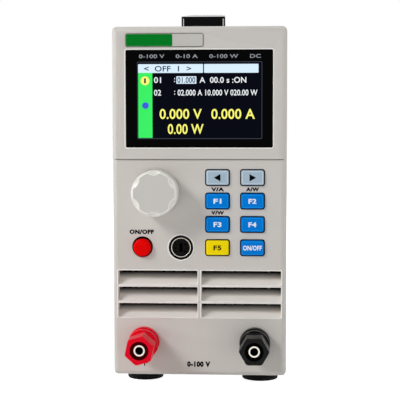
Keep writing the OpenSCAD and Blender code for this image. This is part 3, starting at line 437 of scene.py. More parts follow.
def lit(name: str, colour: Colour, rough: float = 0.3) -> Finish:
    """Finish of a lit part of the display."""
    return Finish(name, colour, Grain.SCREEN, rough, glow=1.0, spec=0.02)


class Palette:
    """Every finish of the instrument, by the piece that wears it."""

    BEZEL = Finish("bezel_offwhite", (205, 200, 194), Grain.MOULDED, 0.5, 0.35, 0.12, 0.03, spec=0.4)
    # one moulding in two tones: skirt and hollows lighter as painted light, face darker as painted shade
    KNOB = Finish("knob_lit_offwhite", (228, 225, 219), Grain.SATIN, 0.34, 0.5, 0.03, 0.03, spec=0.5)
    KNOB_FACE_SHADED = Finish("knob_face_shaded_offwhite", (202, 199, 193), Grain.SATIN, 0.38, 0.5, 0.03, 0.03, spec=0.4)
    # lighter than the bezel as painted light on the slats; painted shade darkens it towards the slits
    LOUVRE_LIT_SHADED = Finish("louvre_painted_light_shade", (238, 233, 227), Grain.MOULDED, 0.5, 0.35, 0.12, 0.03, spec=0.4)
    PANE = Finish("window_black", (3, 3, 4), Grain.GLASS, 0.1, 6.0, 0.01, 0.2, 0.03, spec=0.02)
    BADGE_GREY = Finish("badge_grey", (186, 184, 178), Grain.BRUSHED, 0.45, 0.2, 0.12, 0.06, 0.1, metal=0.15)
    BADGE_GREEN = Finish("badge_green", (0, 122, 35), Grain.PRINT, 0.4, 0.3, 0.05, 0.08, spec=0.05)
    KEY_GREY = Finish("key_grey_blue", (168, 189, 205), Grain.RUBBER, 0.55, 0.3, 0.08, 0.05, spec=0.2)
    KEY_BLUE = Finish("soft_key_blue", (0, 125, 220), Grain.RUBBER, 0.55, 0.3, 0.08, 0.06, spec=0.04)
    KEY_YELLOW = Finish("soft_key_yellow", (250, 222, 6), Grain.RUBBER, 0.55, 0.3, 0.08, 0.05, spec=0.04)
    # lighter lines round the keys' fronts: painted highlights
    KEY_GREY_HIGHLIGHT = Finish("key_grey_highlight", (214, 224, 232), Grain.RUBBER, 0.5, 0.3, 0.06, 0.04, spec=0.2)
    KEY_BLUE_HIGHLIGHT = Finish("key_blue_highlight", (24, 150, 240), Grain.RUBBER, 0.5, 0.3, 0.06, 0.04, spec=0.06)
    KEY_YELLOW_HIGHLIGHT = Finish("key_yellow_highlight", (255, 234, 40), Grain.RUBBER, 0.5, 0.3, 0.06, 0.04, spec=0.06)
    POWER_RED = Finish("power_red", (232, 3, 2), Grain.SATIN, 0.34, 0.5, 0.03, 0.06, spec=0.03)
    BLACK = Finish("black_moulding", (18, 18, 19), Grain.MOULDED, 0.5, 0.35, 0.12, 0.15, spec=0.15)
    POST_BLACK = Finish("post_black", (8, 8, 9), Grain.SATIN, 0.3, 0.4, 0.04, 0.15, spec=0.1)
    POST_RED = Finish("post_red", (232, 0, 34), Grain.SATIN, 0.28, 0.4, 0.04, 0.06, spec=0.08)
    # darker red in the nut's recess: painted shade
    POST_RED_SHADED = Finish("post_red_shaded", (112, 2, 16), Grain.SATIN, 0.4, 0.4, 0.04, 0.1, spec=0.04)
    NICKEL = Finish("nickel_plate", (204, 198, 187), Grain.PLATED, 0.2, 0.3, 0.05, 0.06, 0.1, metal=1.0)
    DIM_NICKEL = Finish("dim_nickel", (132, 129, 124), Grain.PLATED, 0.35, 0.3, 0.05, 0.06, 0.1, metal=1.0)
    CHROME = Finish("chrome_plate", (150, 152, 156), Grain.PLATED, 0.2, 0.5, 0.02, 0.03, 0.05, metal=1.0)
    ZINC = Finish("zinc_steel", (146, 146, 145), Grain.BRUSHED, 0.36, 0.25, 0.16, 0.08, 0.14, metal=1.0)
    DULL_BRASS = Finish("dull_brass", (58, 46, 26), Grain.BRUSHED, 0.5, 0.2, 0.08, 0.1, 0.1, metal=1.0)
    BRASS = Finish("turned_brass", (204, 168, 96), Grain.BRUSHED, 0.26, 0.2, 0.08, 0.06, 0.1, metal=1.0)
    # near black in bores, recesses and behind the louvres: painted shade
    PAINTED_SHADE = Finish("shaded_bore", (6, 6, 6), Grain.SATIN, 0.6, 0.3, 0.05, 0.2, spec=0.02)
    CASE = Finish("case_powder_coat", (198, 194, 188), Grain.POWDER, 0.48, 0.7, 0.22, 0.04)
    SOCKET = Finish("socket_black", (8, 8, 9), Grain.SATIN, 0.5, 0.3, 0.05, 0.2, spec=0.05)
    RUBBER = Finish("foot_rubber", (10, 10, 11), Grain.RUBBER, 0.72, 0.4, 0.16, 0.2, spec=0.1)
    VINYL = Finish("strap_vinyl", (20, 20, 21), Grain.VINYL, 0.5, 0.8, 0.5, 0.2)
    BOARD = Finish("solder_mask", (12, 84, 46), Grain.SATIN, 0.38, 0.8, 0.04, 0.15)
    ANODISED = Finish(
        "black_anodising", (38, 39, 41), Grain.BRUSHED, 0.45, 0.25, 0.14, 0.06, 0.1, metal=0.5, spec=0.2
    )
    CORE = Finish("varnished_core", (96, 72, 48), Grain.SATIN, 0.4, 0.6, 0.08, 0.12)
    # painted shadow under the step below the display face
    STEP_SHADOW = Finish("seam_shadow", (112, 108, 101), Grain.MOULDED, 0.7, 0.35, 0.05, 0.05, spec=0.2)
    # beads lighter than the parts they edge: painted highlights
    RIM_HIGHLIGHT = Finish("rim_highlight_offwhite", (246, 243, 238), Grain.SATIN, 0.4, 0.35, 0.04, 0.02)
    # dark flat rings in the gaps round the keys and the power button: painted shadow
    GAP_SHADOW = Finish("gap_shadow_black", (6, 7, 9), Grain.RUBBER, 0.8, 0.3, 0.05, 0.2, spec=0.02)
    INK = Finish("black_ink", (4, 4, 5), Grain.PRINT, 0.7, 0.2, 0.05, 0.2, spec=0.02)
    WHITE_INK = Finish("white_ink", (240, 243, 246), Grain.PRINT, 0.6, 0.2, 0.05, 0.02)
    PALE_INK = Finish("pale_ink", (146, 150, 158), Grain.PRINT, 0.6, 0.2, 0.05, 0.02)
    SCREEN_DARK = lit("screen_dark", (4, 6, 18), 0.2)
    SCREEN_EDGE = lit("screen_edge", (62, 68, 82))
    SCREEN_BAR = lit("screen_bar", (220, 242, 255))
    SCREEN_GREEN = lit("screen_green", (60, 240, 102))
    SCREEN_YELLOW = lit("screen_yellow", (255, 252, 118))
    SCREEN_WHITE = lit("screen_white", (240, 246, 248))
    SCREEN_BLUE = lit("screen_blue", (66, 92, 222))
    SCREEN_INK = lit("screen_ink", (20, 32, 78))


class Shapes:
    """Surfaces worked out as whole arrays."""

    @staticmethod
    def rounded_outline(width: float, height: float, radius: float, steps: int = 8) -> np.ndarray:
        """Rectangle with quarter-circle corners, counter-clockwise from the lower right corner.

        Args:
            width: overall width.
            height: overall height.
            radius: corner radius.
            steps: points on each corner.

        Returns:
            Array of (across, up) points.
        """
        turn = np.linspace(0.0, math.pi / 2, steps)
        start = np.array([-math.pi / 2, 0.0, math.pi / 2, math.pi])[:, None]
        sign = np.array([[1, -1], [1, 1], [-1, 1], [-1, -1]], float)
        middle = sign * np.array([width / 2 - radius, height / 2 - radius])
        angle = start + turn[None, :]
        ring = middle[:, None, :] + radius * np.stack([np.cos(angle), np.sin(angle)], axis=2)
        return ring.reshape(-1, 2)

    @staticmethod
    def ring_outline(radius: float, steps: int = 48) -> np.ndarray:
        """Circle, counter-clockwise from its right.

        Args:
            radius: its radius.
            steps: points round it.

        Returns:
            Array of (across, up) points.
        """
        angle = np.linspace(0.0, 2 * math.pi, steps, endpoint=False)
        return radius * np.stack([np.cos(angle), np.sin(angle)], axis=1)

    @staticmethod
    def plate(outline: np.ndarray, middle: Sequence[float], front: float, depth: float) -> tuple:
        """Closed plate: an outline in the front view carried back from the front plane.

        Args:
            outline: (across, up) points, counter-clockwise seen from the front.
            middle: x and z of the outline's origin.
            front: y of the front face.
            depth: thickness towards +Y.

        Returns:
            Vertices and faces.
        """
        count = len(outline)
        place = np.zeros((2 * count, 3))
        place[:, 0] = np.tile(outline[:, 0], 2) + middle[0]
        place[:, 2] = np.tile(outline[:, 1], 2) + middle[1]
        place[:count, 1] = front
        place[count:, 1] = front + depth
        near = np.arange(count)
        after = np.roll(near, -1)
        walls = np.stack([near, near + count, after + count, after], axis=1)
        faces = [near.tolist(), (near[::-1] + count).tolist(), *walls.tolist()]
        return place, faces

    @staticmethod
    def bead(
        outline: np.ndarray, middle: Sequence[float], front: float, radius: float, steps: int = 10
    ) -> tuple:
        """Round bead along an outline: a small circle carried round the outline on its outward normal.

        Args:
            outline: (across, up) points of the bead's middle line, counter-clockwise.
            middle: x and z of the outline's origin.
            front: y of the bead's middle line.
            radius: radius of the bead.
            steps: points round the bead.

        Returns:
            Vertices and faces.
        """
        along = np.roll(outline, -1, axis=0) - np.roll(outline, 1, axis=0)
        along /= np.linalg.norm(along, axis=1, keepdims=True)
        outward = np.stack([along[:, 1], -along[:, 0]], axis=1)
        angle = np.linspace(0.0, 2 * math.pi, steps, endpoint=False)
        across = outline[:, None, :] + radius * np.cos(angle)[None, :, None] * outward[:, None, :]
        place = np.zeros((len(outline), steps, 3))
        place[:, :, 0] = across[:, :, 0] + middle[0]
        place[:, :, 2] = across[:, :, 1] + middle[1]
        place[:, :, 1] = front + radius * np.sin(angle)[None, :]
        return place.reshape(-1, 3), Shapes.wrap_faces(len(outline), steps)

    @staticmethod
    def ring_plate(
        outer: np.ndarray, inner: np.ndarray, middle: Sequence[float], front: float, depth: float
    ) -> tuple:
        """Closed flat ring: the four edges between two outlines of as many points, front and back.

        Args:
            outer: (across, up) points of the outside.
            inner: (across, up) points of the hole.
            middle: x and z of the outlines' origin.
            front: y of the front face.
            depth: thickness towards +Y.

        Returns:
            Vertices and faces.
        """
        place = np.zeros((len(outer), 4, 3))
        place[:, (0, 1), 0] = outer[:, :1] + middle[0]
        place[:, (2, 3), 0] = inner[:, :1] + middle[0]
        place[:, (0, 1), 2] = outer[:, 1:] + middle[1]
        place[:, (2, 3), 2] = inner[:, 1:] + middle[1]
        place[:, (0, 3), 1] = front
        place[:, (1, 2), 1] = front + depth
        return place.reshape(-1, 3), Shapes.wrap_faces(len(outer), 4)

    @staticmethod
    def loft(rings: np.ndarray) -> tuple:
        """Closed skin over a row of rings, with a flat face on the first and on the last.

        Args:
            rings: points by ring, place on the ring and axis.

        Returns:
            Vertices and faces.
        """
        rows, columns = rings.shape[:2]
        walls = Shapes.wrap_faces(rows, columns)[: (rows - 1) * columns]
        first = list(range(columns))
        last = list(range(rows * columns - 1, (rows - 1) * columns - 1, -1))
        return rings.reshape(-1, 3), [*walls, first, last]

    @staticmethod
    def wrap_faces(rows: int, columns: int) -> list:
        """Quads of a grid that closes on itself in both directions.

        Args:
            rows: points along the path.
            columns: points round the profile.

        Returns:
            Faces as lists of four indices.
        """
        row, column = np.meshgrid(np.arange(rows), np.arange(columns), indexing="ij")
        here = row * columns + column
        right = row * columns + (column + 1) % columns
        up = ((row + 1) % rows) * columns + column
        far = ((row + 1) % rows) * columns + (column + 1) % columns
        return np.stack([here, right, far, up], axis=2).reshape(-1, 4).tolist()


class Workshop:
    """Turns arrays and solids into dressed pieces that ride on a body."""

    @staticmethod
    def middle(node: str) -> tuple[float, float]:
        """x and z of the middle of the box round a solid."""
        low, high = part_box(node)
        return (low.x + high.x) / 2, (low.z + high.z) / 2

    @staticmethod
    def panel_face() -> float:
        """y of the lower panel's face, which stands a step behind the display's."""
        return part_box("front_bezel")[0].y + STEP_BACK

    @staticmethod
    def piece(
        name: str, shape: tuple, finish: Finish, slot: str, body: str = ROOT, smooth: bool = True
    ) -> bpy.types.Object:
        """Makes a piece from vertices and faces.

        Args:
            name: the piece's name.
            shape: vertices and faces.
            finish: the finish it wears.
            slot: the record's material slot.
            body: the body that it rides on.
            smooth: shades soft edges round.

        Returns:
            The new object.
        """
        vertices, faces = shape
        mesh = bpy.data.meshes.new(name)
        mesh.from_pydata(np.asarray(vertices).tolist(), [], faces)
        work = bmesh.new()
        work.from_mesh(mesh)
        bmesh.ops.recalc_face_normals(work, faces=work.faces)
        work.to_mesh(mesh)
        work.free()
        return Workshop._place(name, mesh, finish, slot, body, smooth)

    @staticmethod
    def joined(shapes: Sequence[tuple]) -> tuple:
        """Puts several shapes into one.

        Args:
            shapes: vertices and faces of each.

        Returns:
            Vertices and faces of them all.
        """
        vertices = np.concatenate([np.asarray(shape[0]) for shape in shapes])
        starts = np.cumsum([0] + [len(shape[0]) for shape in shapes[:-1]]).tolist()
        faces = [
            [index + start for index in face] for shape, start in zip(shapes, starts) for face in shape[1]
        ]
        return vertices, faces

    @staticmethod
    def softened(node: str, finish: Finish, edge_mm: float, steps: int = 2) -> bpy.types.Object:
        """Copies a solid, merges its triangles into flat faces and rounds its sharp edges.

        Args:
            node: the solid's name, which the copy stands for.
            finish: the finish it wears.
            edge_mm: width of the rounded edges in millimetres.
            steps: faces across a rounded edge.

        Returns:
            The new object.
        """
        source = frame["nodes"][node]
        mesh = bpy.data.meshes.new(node + "_soft")
        work = bmesh.new()
        work.from_mesh(source.data)
        bmesh.ops.remove_doubles(work, verts=work.verts, dist=WELD)
        bmesh.ops.dissolve_degenerate(work, edges=work.edges, dist=SPECK)
        bmesh.ops.dissolve_limit(work, angle_limit=FLAT_ANGLE, verts=work.verts, edges=work.edges)
        work.to_mesh(mesh)
        work.free()
        slot = next(part["material_slot"] for part in frame["record"]["subparts"] if part["node"] == node)
        made = Workshop._place(node + "_soft", mesh, finish, slot, source["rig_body"], True)
        Workshop.rounded(made, edge_mm * MM, steps, SHARP_ANGLE)
        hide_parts(node)
        return made

    @staticmethod
    def rounded(made: bpy.types.Object, width: float, steps: int, angle: float) -> None:
        """Rounds the edges of a piece that turn by more than an angle.

        Args:
            made: the piece.
            width: width of a rounded edge.
            steps: faces across it.
            angle: the least turn, in radians.
        """
        rounding = made.modifiers.new("rounded_edges", "BEVEL")
        rounding.width = width
        rounding.segments = steps
        rounding.limit_method = "ANGLE"
        rounding.angle_limit = angle
        rounding.harden_normals = True

    @staticmethod
    def front_tinted(
        made: bpy.types.Object, node: str, depth: float, finish: Finish, flat: bool = False
    ) -> None:
        """Gives the faces at a solid's front that look forwards a second finish.

        Args:
            made: the softened copy of the solid.
            node: the solid.
            depth: how far behind the solid's front such a face may lie.
            finish: the second finish.
            flat: shades the changed faces flat.
        """
        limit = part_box(node)[0].y + depth

        def ahead(middles: np.ndarray, normals: np.ndarray) -> np.ndarray:
            """Faces before the limit whose normals point forwards."""
            return (middles[:, 1] < limit) & (normals[:, 1] < LOOKS_AHEAD)

        Workshop.tinted(made, finish, ahead, flat)

    @staticmethod
    def tinted(made: bpy.types.Object, finish: Finish, rule: FaceRule, flat: bool = False) -> None:
        """Gives the faces that a rule picks a second finish.

        Args:
            made: the piece.
            finish: the second finish.
            rule: takes the faces' middles and normals and returns which of them change.
            flat: shades the changed faces flat.
        """
        mesh = made.data
        mesh.materials.append(finish.material())
        middles, normals = np.zeros((2, len(mesh.polygons) * 3), np.float32)
        mesh.polygons.foreach_get("center", middles)
        mesh.polygons.foreach_get("normal", normals)
        second = np.where(rule(middles.reshape(-1, 3), normals.reshape(-1, 3)), len(mesh.materials) - 1, 0)
        mesh.polygons.foreach_set("material_index", second.astype(np.int32))
        if flat:
            mesh.polygons.foreach_set("use_smooth", second == 0)

    @staticmethod
    def dressed(nodes: Sequence[str], finish: Finish) -> None:
        """Gives solids that stay as they are their finish.

        Args:
            nodes: the solids' names.
            finish: the finish they wear.
        """
        for node in nodes:
            target = frame["nodes"][node]
            target.data.materials.clear()
            target.data.materials.append(finish.material())
            LOG.info("dressed %s in %s", node, finish.name)

    @staticmethod
    def words(
        name: str, text: str, height: float, middle: Sequence[float], front: float, finish: Finish,
        slot: str, body: str = ROOT, width: float = 0.0, bold: float = 0.0,
    ) -> bpy.types.Object:
        """Sets a line of plain characters as a thin closed mesh on an upright plane.

        Args:
            name: the piece's name.
            text: the characters.
            height: height of a figure.
            middle: x and z of the line's middle.
            front: y of the face that carries it.
            finish: the ink or light.
            slot: the record's material slot.
            body: the body that it rides on.
            width: overall width to set the line to, or 0 to leave it.
            bold: extra stroke width, which also spreads the characters.

        Returns:
            The new object.
        """
        curve = bpy.data.curves.new(name, "FONT")
        curve.body = text
        curve.align_x = "CENTER"
        curve.align_y = "CENTER"
        curve.extrude = GLYPH_DEPTH
        curve.offset = bold
        curve.space_character = 1.0 + GLYPH_SPREAD * bold
        curve.resolution_u = GLYPH_STEPS
        holder = bpy.data.objects.new(name, curve)
        bpy.context.scene.collection.objects.link(holder)
        bpy.context.view_layer.update()
        ready = holder.evaluated_get(bpy.context.evaluated_depsgraph_get())
        mesh = bpy.data.meshes.new_from_object(ready)
        bpy.data.objects.remove(holder)
        bpy.data.curves.remove(curve)
        flat = np.zeros(len(mesh.vertices) * 3, np.float32)
        mesh.vertices.foreach_get("co", flat)
        flat = flat.reshape(-1, 3)
        low, high = flat.min(0), flat.max(0)
        tall = height / (high[1] - low[1])
        wide = width / (high[0] - low[0]) if width else tall
        place = np.zeros_like(flat)
        place[:, 0] = (flat[:, 0] - (low[0] + high[0]) / 2) * wide + middle[0]
        place[:, 2] = (flat[:, 1] - (low[1] + high[1]) / 2) * tall + middle[1]
        place[:, 1] = front - np.sign(flat[:, 2]) * PRINT_T / 2
        mesh.vertices.foreach_set("co", place.ravel())
        mesh.update()
        mesh.name = name
        return Workshop._place(name, mesh, finish, slot, body, False)

    @staticmethod
    def _place(
        name: str, mesh: bpy.types.Mesh, finish: Finish, slot: str, body: str, smooth: bool
    ) -> bpy.types.Object:
        """Links a mesh as a piece, dresses it and lets it ride.

        Args:
            name: the piece's name.
            mesh: its mesh, in place.
            finish: the finish it wears.
            slot: the record's material slot; not used.
            body: the body that it rides on.
            smooth: shades soft edges round.

        Returns:
            The new object.
        """
        mesh.materials.clear()
        mesh.materials.append(finish.material())
        if smooth:
            mesh.polygons.foreach_set("use_smooth", np.ones(len(mesh.polygons), bool))
            mesh.set_sharp_from_angle(angle=SHARP_ANGLE)
        made = bpy.data.objects.new(name, mesh)
        bpy.context.scene.collection.objects.link(made)
        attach(made, body)
        LOG.info("made %s on %s", name, body)
        return made


@dataclass
class FrontPanel:
    """Moulded bezel with a painted shadow under its step, painted light and shade in its louvres, its rims as
    painted highlights and the printed marks on it.
    """

    edge: float = 0.3
    rim: float = 0.28 * MM
    rim_r: float = 0.5 * MM
    # painted shadow under the display face's step: its height, half its thickness and how much shorter than
    # the bezel it is
    step_shadow_h: float = 0.38 * MM
    step_shadow_d: float = 0.12 * MM
    step_shadow_short: float = 3.4 * MM
    step_up: float = 110.3 * MM
    rows: int = 3
    slot_h: float = 7.1 * MM
    slot_w: float = 40.3 * MM
    slot_low: float = 29.9 * MM
    slot_pitch: float = 8.35 * MM
    slot_mid: float = 21.15 * MM
    slot_free: float = 0.2 * MM
    slot_d: float = 9.0 * MM
    # painted light and shade in the louvres: full colour up to slot_lit behind the panel's face, falling to
    # the darkest value at slot_d
    slot_lit: float = 4.8 * MM
    slot_shaded: float = 0.02
    sign_up: float = 6.4 * MM
    sign_w: float = 3.2 * MM
    sign_t: float = 0.6 * MM
    sign_r: float = 0.1 * MM
    range_at: tuple[float, float] = (-0.4 * MM, 5.9 * MM)
    range_size: tuple[float, float] = (11.8 * MM, 2.9 * MM)
    power_at: tuple[float, float] = (-0.4 * MM, 7.85 * MM)
    power_size: tuple[float, float] = (12.4 * MM, 2.3 * MM)
    bold: float = 0.07

    def build(self) -> None:
        """Softens the bezel, paints light and shade into its louvres and lays the painted shadow under the
        step, the rims with their painted highlights and the marks on it.
        """
        made = Workshop.softened("front_bezel", Palette.BEZEL, self.edge)
        low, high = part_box("front_bezel")
        self._louvres(made, low)
        self._step_shadow(low, high)
        self._rims(low)
        self._marks(low)

    def _louvres(self, made: bpy.types.Object, low: Vector) -> None:
        """Paints light and shade inside the louvres: a finish lighter than the bezel that painted shade
        darkens towards their slits.

        Args:
            made: the bezel.
            low: lowest corner of the bezel.
        """
        face = Workshop.panel_face()
        finish = replace(Palette.LOUVRE_LIT_SHADED, depth_shade=(face + self.slot_lit, face + self.slot_d, self.slot_shaded))
        bottom = low.z + self.slot_low - self.slot_free
        top = bottom + (self.rows - 1) * self.slot_pitch + self.slot_h + 2 * self.slot_free

        def inside(middles: np.ndarray, normals: np.ndarray) -> np.ndarray:
            """Faces behind the front of the panel, between the lowest sill and the highest ceiling.

            Args:
                middles: the faces' middles.
                normals: the faces' normals.

            Returns:
                Which faces these are.
            """
            across = np.abs(np.abs(middles[:, 0]) - self.slot_mid) < self.slot_w / 2 + self.slot_free
            level = (middles[:, 2] > bottom) & (middles[:, 2] < top)
            deep = (middles[:, 1] > face + self.slot_free) & (middles[:, 1] < face + self.slot_d)
            return across & level & deep & (normals[:, 1] < LOOKS_BACK)

        Workshop.tinted(made, finish, inside)

    def _step_shadow(self, low: Vector, high: Vector) -> None:
        """Painted shadow under the display face's step: a thin dark bar as wide as the flat of the panel.

        Args:
            low: lowest corner of the bezel.
            high: highest corner of the bezel.
        """
        width = high.x - low.x - self.step_shadow_short
        outline = Shapes.rounded_outline(width, self.step_shadow_h, self.step_shadow_h * ROUND_END, 4)
        place = (0.0, low.z + self.step_up - self.step_shadow_h / 2)
        bar = Shapes.plate(outline, place, Workshop.panel_face() - self.step_shadow_d, 2 * self.step_shadow_d)
        Workshop.piece("panel_step_shadow", bar, Palette.STEP_SHADOW, "bezel")

    def _rims(self, low: Vector) -> None:
        """Bead round each of the six louvre mouths, lighter than the bezel: a painted highlight.

        Args:
            low: lowest corner of the bezel.
        """
        width, height = self.slot_w + 2 * self.rim, self.slot_h + 2 * self.rim
        outline = Shapes.rounded_outline(width, height, self.rim_r, 5)
        front = Workshop.panel_face()
        beads = []
        for row in range(self.rows):
            up = low.z + self.slot_low + self.slot_h / 2 + row * self.slot_pitch
            for side in (-1, 1):
                beads.append(Shapes.bead(outline, (side * self.slot_mid, up), front, self.rim))
        Workshop.piece("louvre_rims", Workshop.joined(beads), Palette.RIM_HIGHLIGHT, "bezel")

    def _marks(self, low: Vector) -> None:
        """Plus and minus under the posts, the range between them and the words over the power button.

        Args:
            low: lowest corner of the bezel.
        """
        front = Workshop.panel_face()
        flat = Shapes.rounded_outline(self.sign_w, self.sign_t, self.sign_r, 3)
        tall = Shapes.rounded_outline(self.sign_t, self.sign_w, self.sign_r, 3)
        signs = (("mark_plus", "red_post_base", (flat, tall)), ("mark_minus", "black_post_base", (flat,)))
        for name, node, strokes in signs:
            place = (Workshop.middle(node)[0], low.z + self.sign_up)
            bars = [Shapes.plate(stroke, place, front - PRINT_T, 2 * PRINT_T) for stroke in strokes]
            Workshop.piece(name, Workshop.joined(bars), Palette.INK, "bezel")
        button = Workshop.middle("power_button")
        lines = (
            ("mark_range", "0-100 V", (0.0, low.z), self.range_at, self.range_size),
            ("mark_on_off", "ON/OFF", button, self.power_at, self.power_size),
        )
        for name, text, start, offset, (width, height) in lines:
            place = (start[0] + offset[0], start[1] + offset[1])
            style = {"width": width, "bold": self.bold}
            Workshop.words(name, text, height, place, front, Palette.INK, "bezel", **style)


@dataclass
class Display:
    """Black pane, the lit picture on it, its rim and the bare badge above."""

    pane_edge: float = 0.25
    rim: float = 0.3 * MM
    rim_out: float = 0.25 * MM
    rim_r: float = 1.0 * MM
    rim_sunk: float = 0.05 * MM
    layer: float = 0.02 * MM
    bold: float = 0.015
    badge_edge: float = 0.15
    field_w: float = 23.3 * MM
    field_in: float = 0.45 * MM
    field_r: float = 0.7 * MM
    field_t: float = 0.06 * MM
    line_in: float = 0.25 * MM
    line_r: float = 0.14 * MM
    line_corner: float = 0.95 * MM
    line_sunk: float = 0.08 * MM

    def build(self) -> None:
        """Softens the pane, draws the picture on it and sets the badge."""
        Workshop.softened("display_window", Palette.PANE, self.pane_edge)
        self._rim()
        self._picture()
        self._readings()
        self._badge()

    def _rim(self) -> None:
        """Bead round the pane's pocket, lighter than the bezel: a painted highlight."""
        low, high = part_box("display_window")
        width, height = high.x - low.x + 2 * self.rim_out, high.z - low.z + 2 * self.rim_out
        outline = Shapes.rounded_outline(width, height, self.rim_r, 8)
        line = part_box("front_bezel")[0].y + self.rim_sunk
        bead = Shapes.bead(outline, Workshop.middle("display_window"), line, self.rim)
        Workshop.piece("window_rim", bead, Palette.RIM_HIGHLIGHT, "bezel")

    def _place(self, offset: Sequence[float], level: int) -> tuple:
        """Place on the pane.

        Args:
            offset: x and z in millimetres from the pane's middle.
            level: layers in front of the pane.

        Returns:
            The place's x and z, and its y.
        """
        across, up = Workshop.middle("display_window")
        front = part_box("display_window")[0].y - level * self.layer
        return (across + offset[0] * MM, up + offset[1] * MM), front

    def _lit(
        self, name: str, outline: np.ndarray, offset: Sequence[float], level: int, finish: Finish
    ) -> None:
        """Lit flat shape of the picture.

        Args:
            name: the piece's name.
            outline: (across, up) points in metres.
            offset: x and z of its middle in millimetres from the pane's middle.
            level: layers in front of the pane.
            finish: its light.
        """
        middle, front = self._place(offset, level)
        Workshop.piece(name, Shapes.plate(outline, middle, front, 2 * self.layer), finish, "window")

    def _text(
        self, name: str, text: str, size: Sequence[float], offset: Sequence[float], level: int, finish: Finish
    ) -> None:
        """Lit or dark line of characters of the picture.

        Args:
            name: the piece's name.
            text: the characters.
            size: overall width and height of a figure in millimetres.
            offset: x and z of its middle in millimetres from the pane's middle.
            level: layers in front of the pane.
            finish: its light.
        """
        middle, front = self._place(offset, level)
        width, height = size[0] * MM, size[1] * MM
        Workshop.words(name, text, height, middle, front, finish, "window", width=width, bold=self.bold)

    def _picture(self) -> None:
        """Ground, frame line, title bar and function bar of the lit picture."""
        bars = (
            ("screen_edge", (62.7, 38.6), (0.2, -0.8), 1, Palette.SCREEN_EDGE, 0.4),
            ("screen_ground", (62.1, 38.0), (0.2, -0.8), 2, Palette.SCREEN_DARK, 0.3),
            ("screen_title_left", (32.6, 4.4), (-14.35, 15.1), 3, Palette.SCREEN_BAR, 0.3),
            ("screen_title_right", (27.2, 4.4), (16.07, 15.1), 3, Palette.SCREEN_BAR, 0.3),
            ("screen_side", (7.1, 32.6), (-27.05, -3.3), 3, Palette.SCREEN_GREEN, 0.3),
            ("screen_cursor", (10.0, 3.7), (-6.4, 9.35), 3, Palette.SCREEN_BAR, 0.1),
        )
        for name, size, offset, level, finish, corner in bars:
            outline = Shapes.rounded_outline(size[0] * MM, size[1] * MM, corner * MM, 4)
            self._lit(name, outline, offset, level, finish)
        discs = (
            ("screen_sign_round", 2.2, (-27.2, 9.0), Palette.SCREEN_YELLOW),
            ("screen_sign_dot", 1.65, (-27.0, -3.4), Palette.SCREEN_BLUE),
        )
        for name, radius, offset, finish in discs:
            self._lit(name, Shapes.ring_outline(radius * MM, 32), offset, 4, finish)

    def _readings(self) -> None:
        """Title, two rows of small settings, the three large readings and the units over the picture."""
        dark, white, yellow = Palette.SCREEN_INK, Palette.SCREEN_WHITE, Palette.SCREEN_YELLOW
        units = "0-100 V     0-10 A     0-100 W     DC"
        lines = (
            ("screen_sign_1", "1", (0.9, 2.4), (-27.2, 9.0), 5, dark),
            ("screen_state", "<  OFF  1  >", (23.6, 2.8), (-15.8, 15.0), 4, dark),
            ("screen_set_1", "01", (3.6, 2.95), (-20.9, 9.35), 3, white),
            ("screen_set_1_dots", ":", (0.5, 2.0), (-12.3, 9.35), 3, white),
            ("screen_set_1_value", "01.000", (9.0, 2.95), (-6.4, 9.35), 4, dark),
            ("screen_set_1_unit", "A  00.0 s :ON", (23.4, 2.95), (11.9, 9.35), 3, white),
            ("screen_set_2", "02", (3.6, 2.95), (-20.9, 3.05), 3, white),
            ("screen_set_2_dots", ":", (0.5, 2.0), (-12.3, 3.05), 3, white),
            ("screen_set_2_value", "02.000 A 10.000 V 020.00 W", (40.0, 2.95), (9.2, 3.05), 3, white),
            ("screen_volts", "0.000 V", (21.2, 5.1), (-9.3, -7.6), 3, yellow),
            ("screen_amps", "0.000 A", (21.8, 5.1), (17.0, -7.6), 3, yellow),
            ("screen_watts", "0.00 W", (18.0, 5.1), (-6.8, -15.15), 3, yellow),
            ("pane_units", units, (61.0, 1.95), (0.3, 21.2), 1, Palette.PALE_INK),
        )
        for line in lines:
            self._text(*line)

    def _badge(self) -> None:
        """Bare badge: a brushed plate, a green field on its left and a dark line round it."""
        Workshop.softened("badge_plate", Palette.BADGE_GREY, self.badge_edge)
        low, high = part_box("badge_plate")
        across, up = Workshop.middle("badge_plate")
        width, height = high.x - low.x, high.z - low.z
        outline = Shapes.rounded_outline(self.field_w, height - 2 * self.field_in, self.field_r, 6)
        place = (low.x + self.field_in + self.field_w / 2, up)
        field = Shapes.plate(outline, place, low.y - self.field_t / 2, self.field_t)
        Workshop.piece("badge_field", field, Palette.BADGE_GREEN, "badge")
        width, height = width - 2 * self.line_in, height - 2 * self.line_in
        outline = Shapes.rounded_outline(width, height, self.line_corner, 6)
        bead = Shapes.bead(outline, (across, up), low.y + self.line_sunk, self.line_r, 8)
        Workshop.piece("badge_line", bead, Palette.INK, "badge")


class KeyMark(Enum):
    """What is printed on a key."""

    LEFT = "arrow to the left"
    RIGHT = "arrow to the right"
    LABEL = "plain characters"


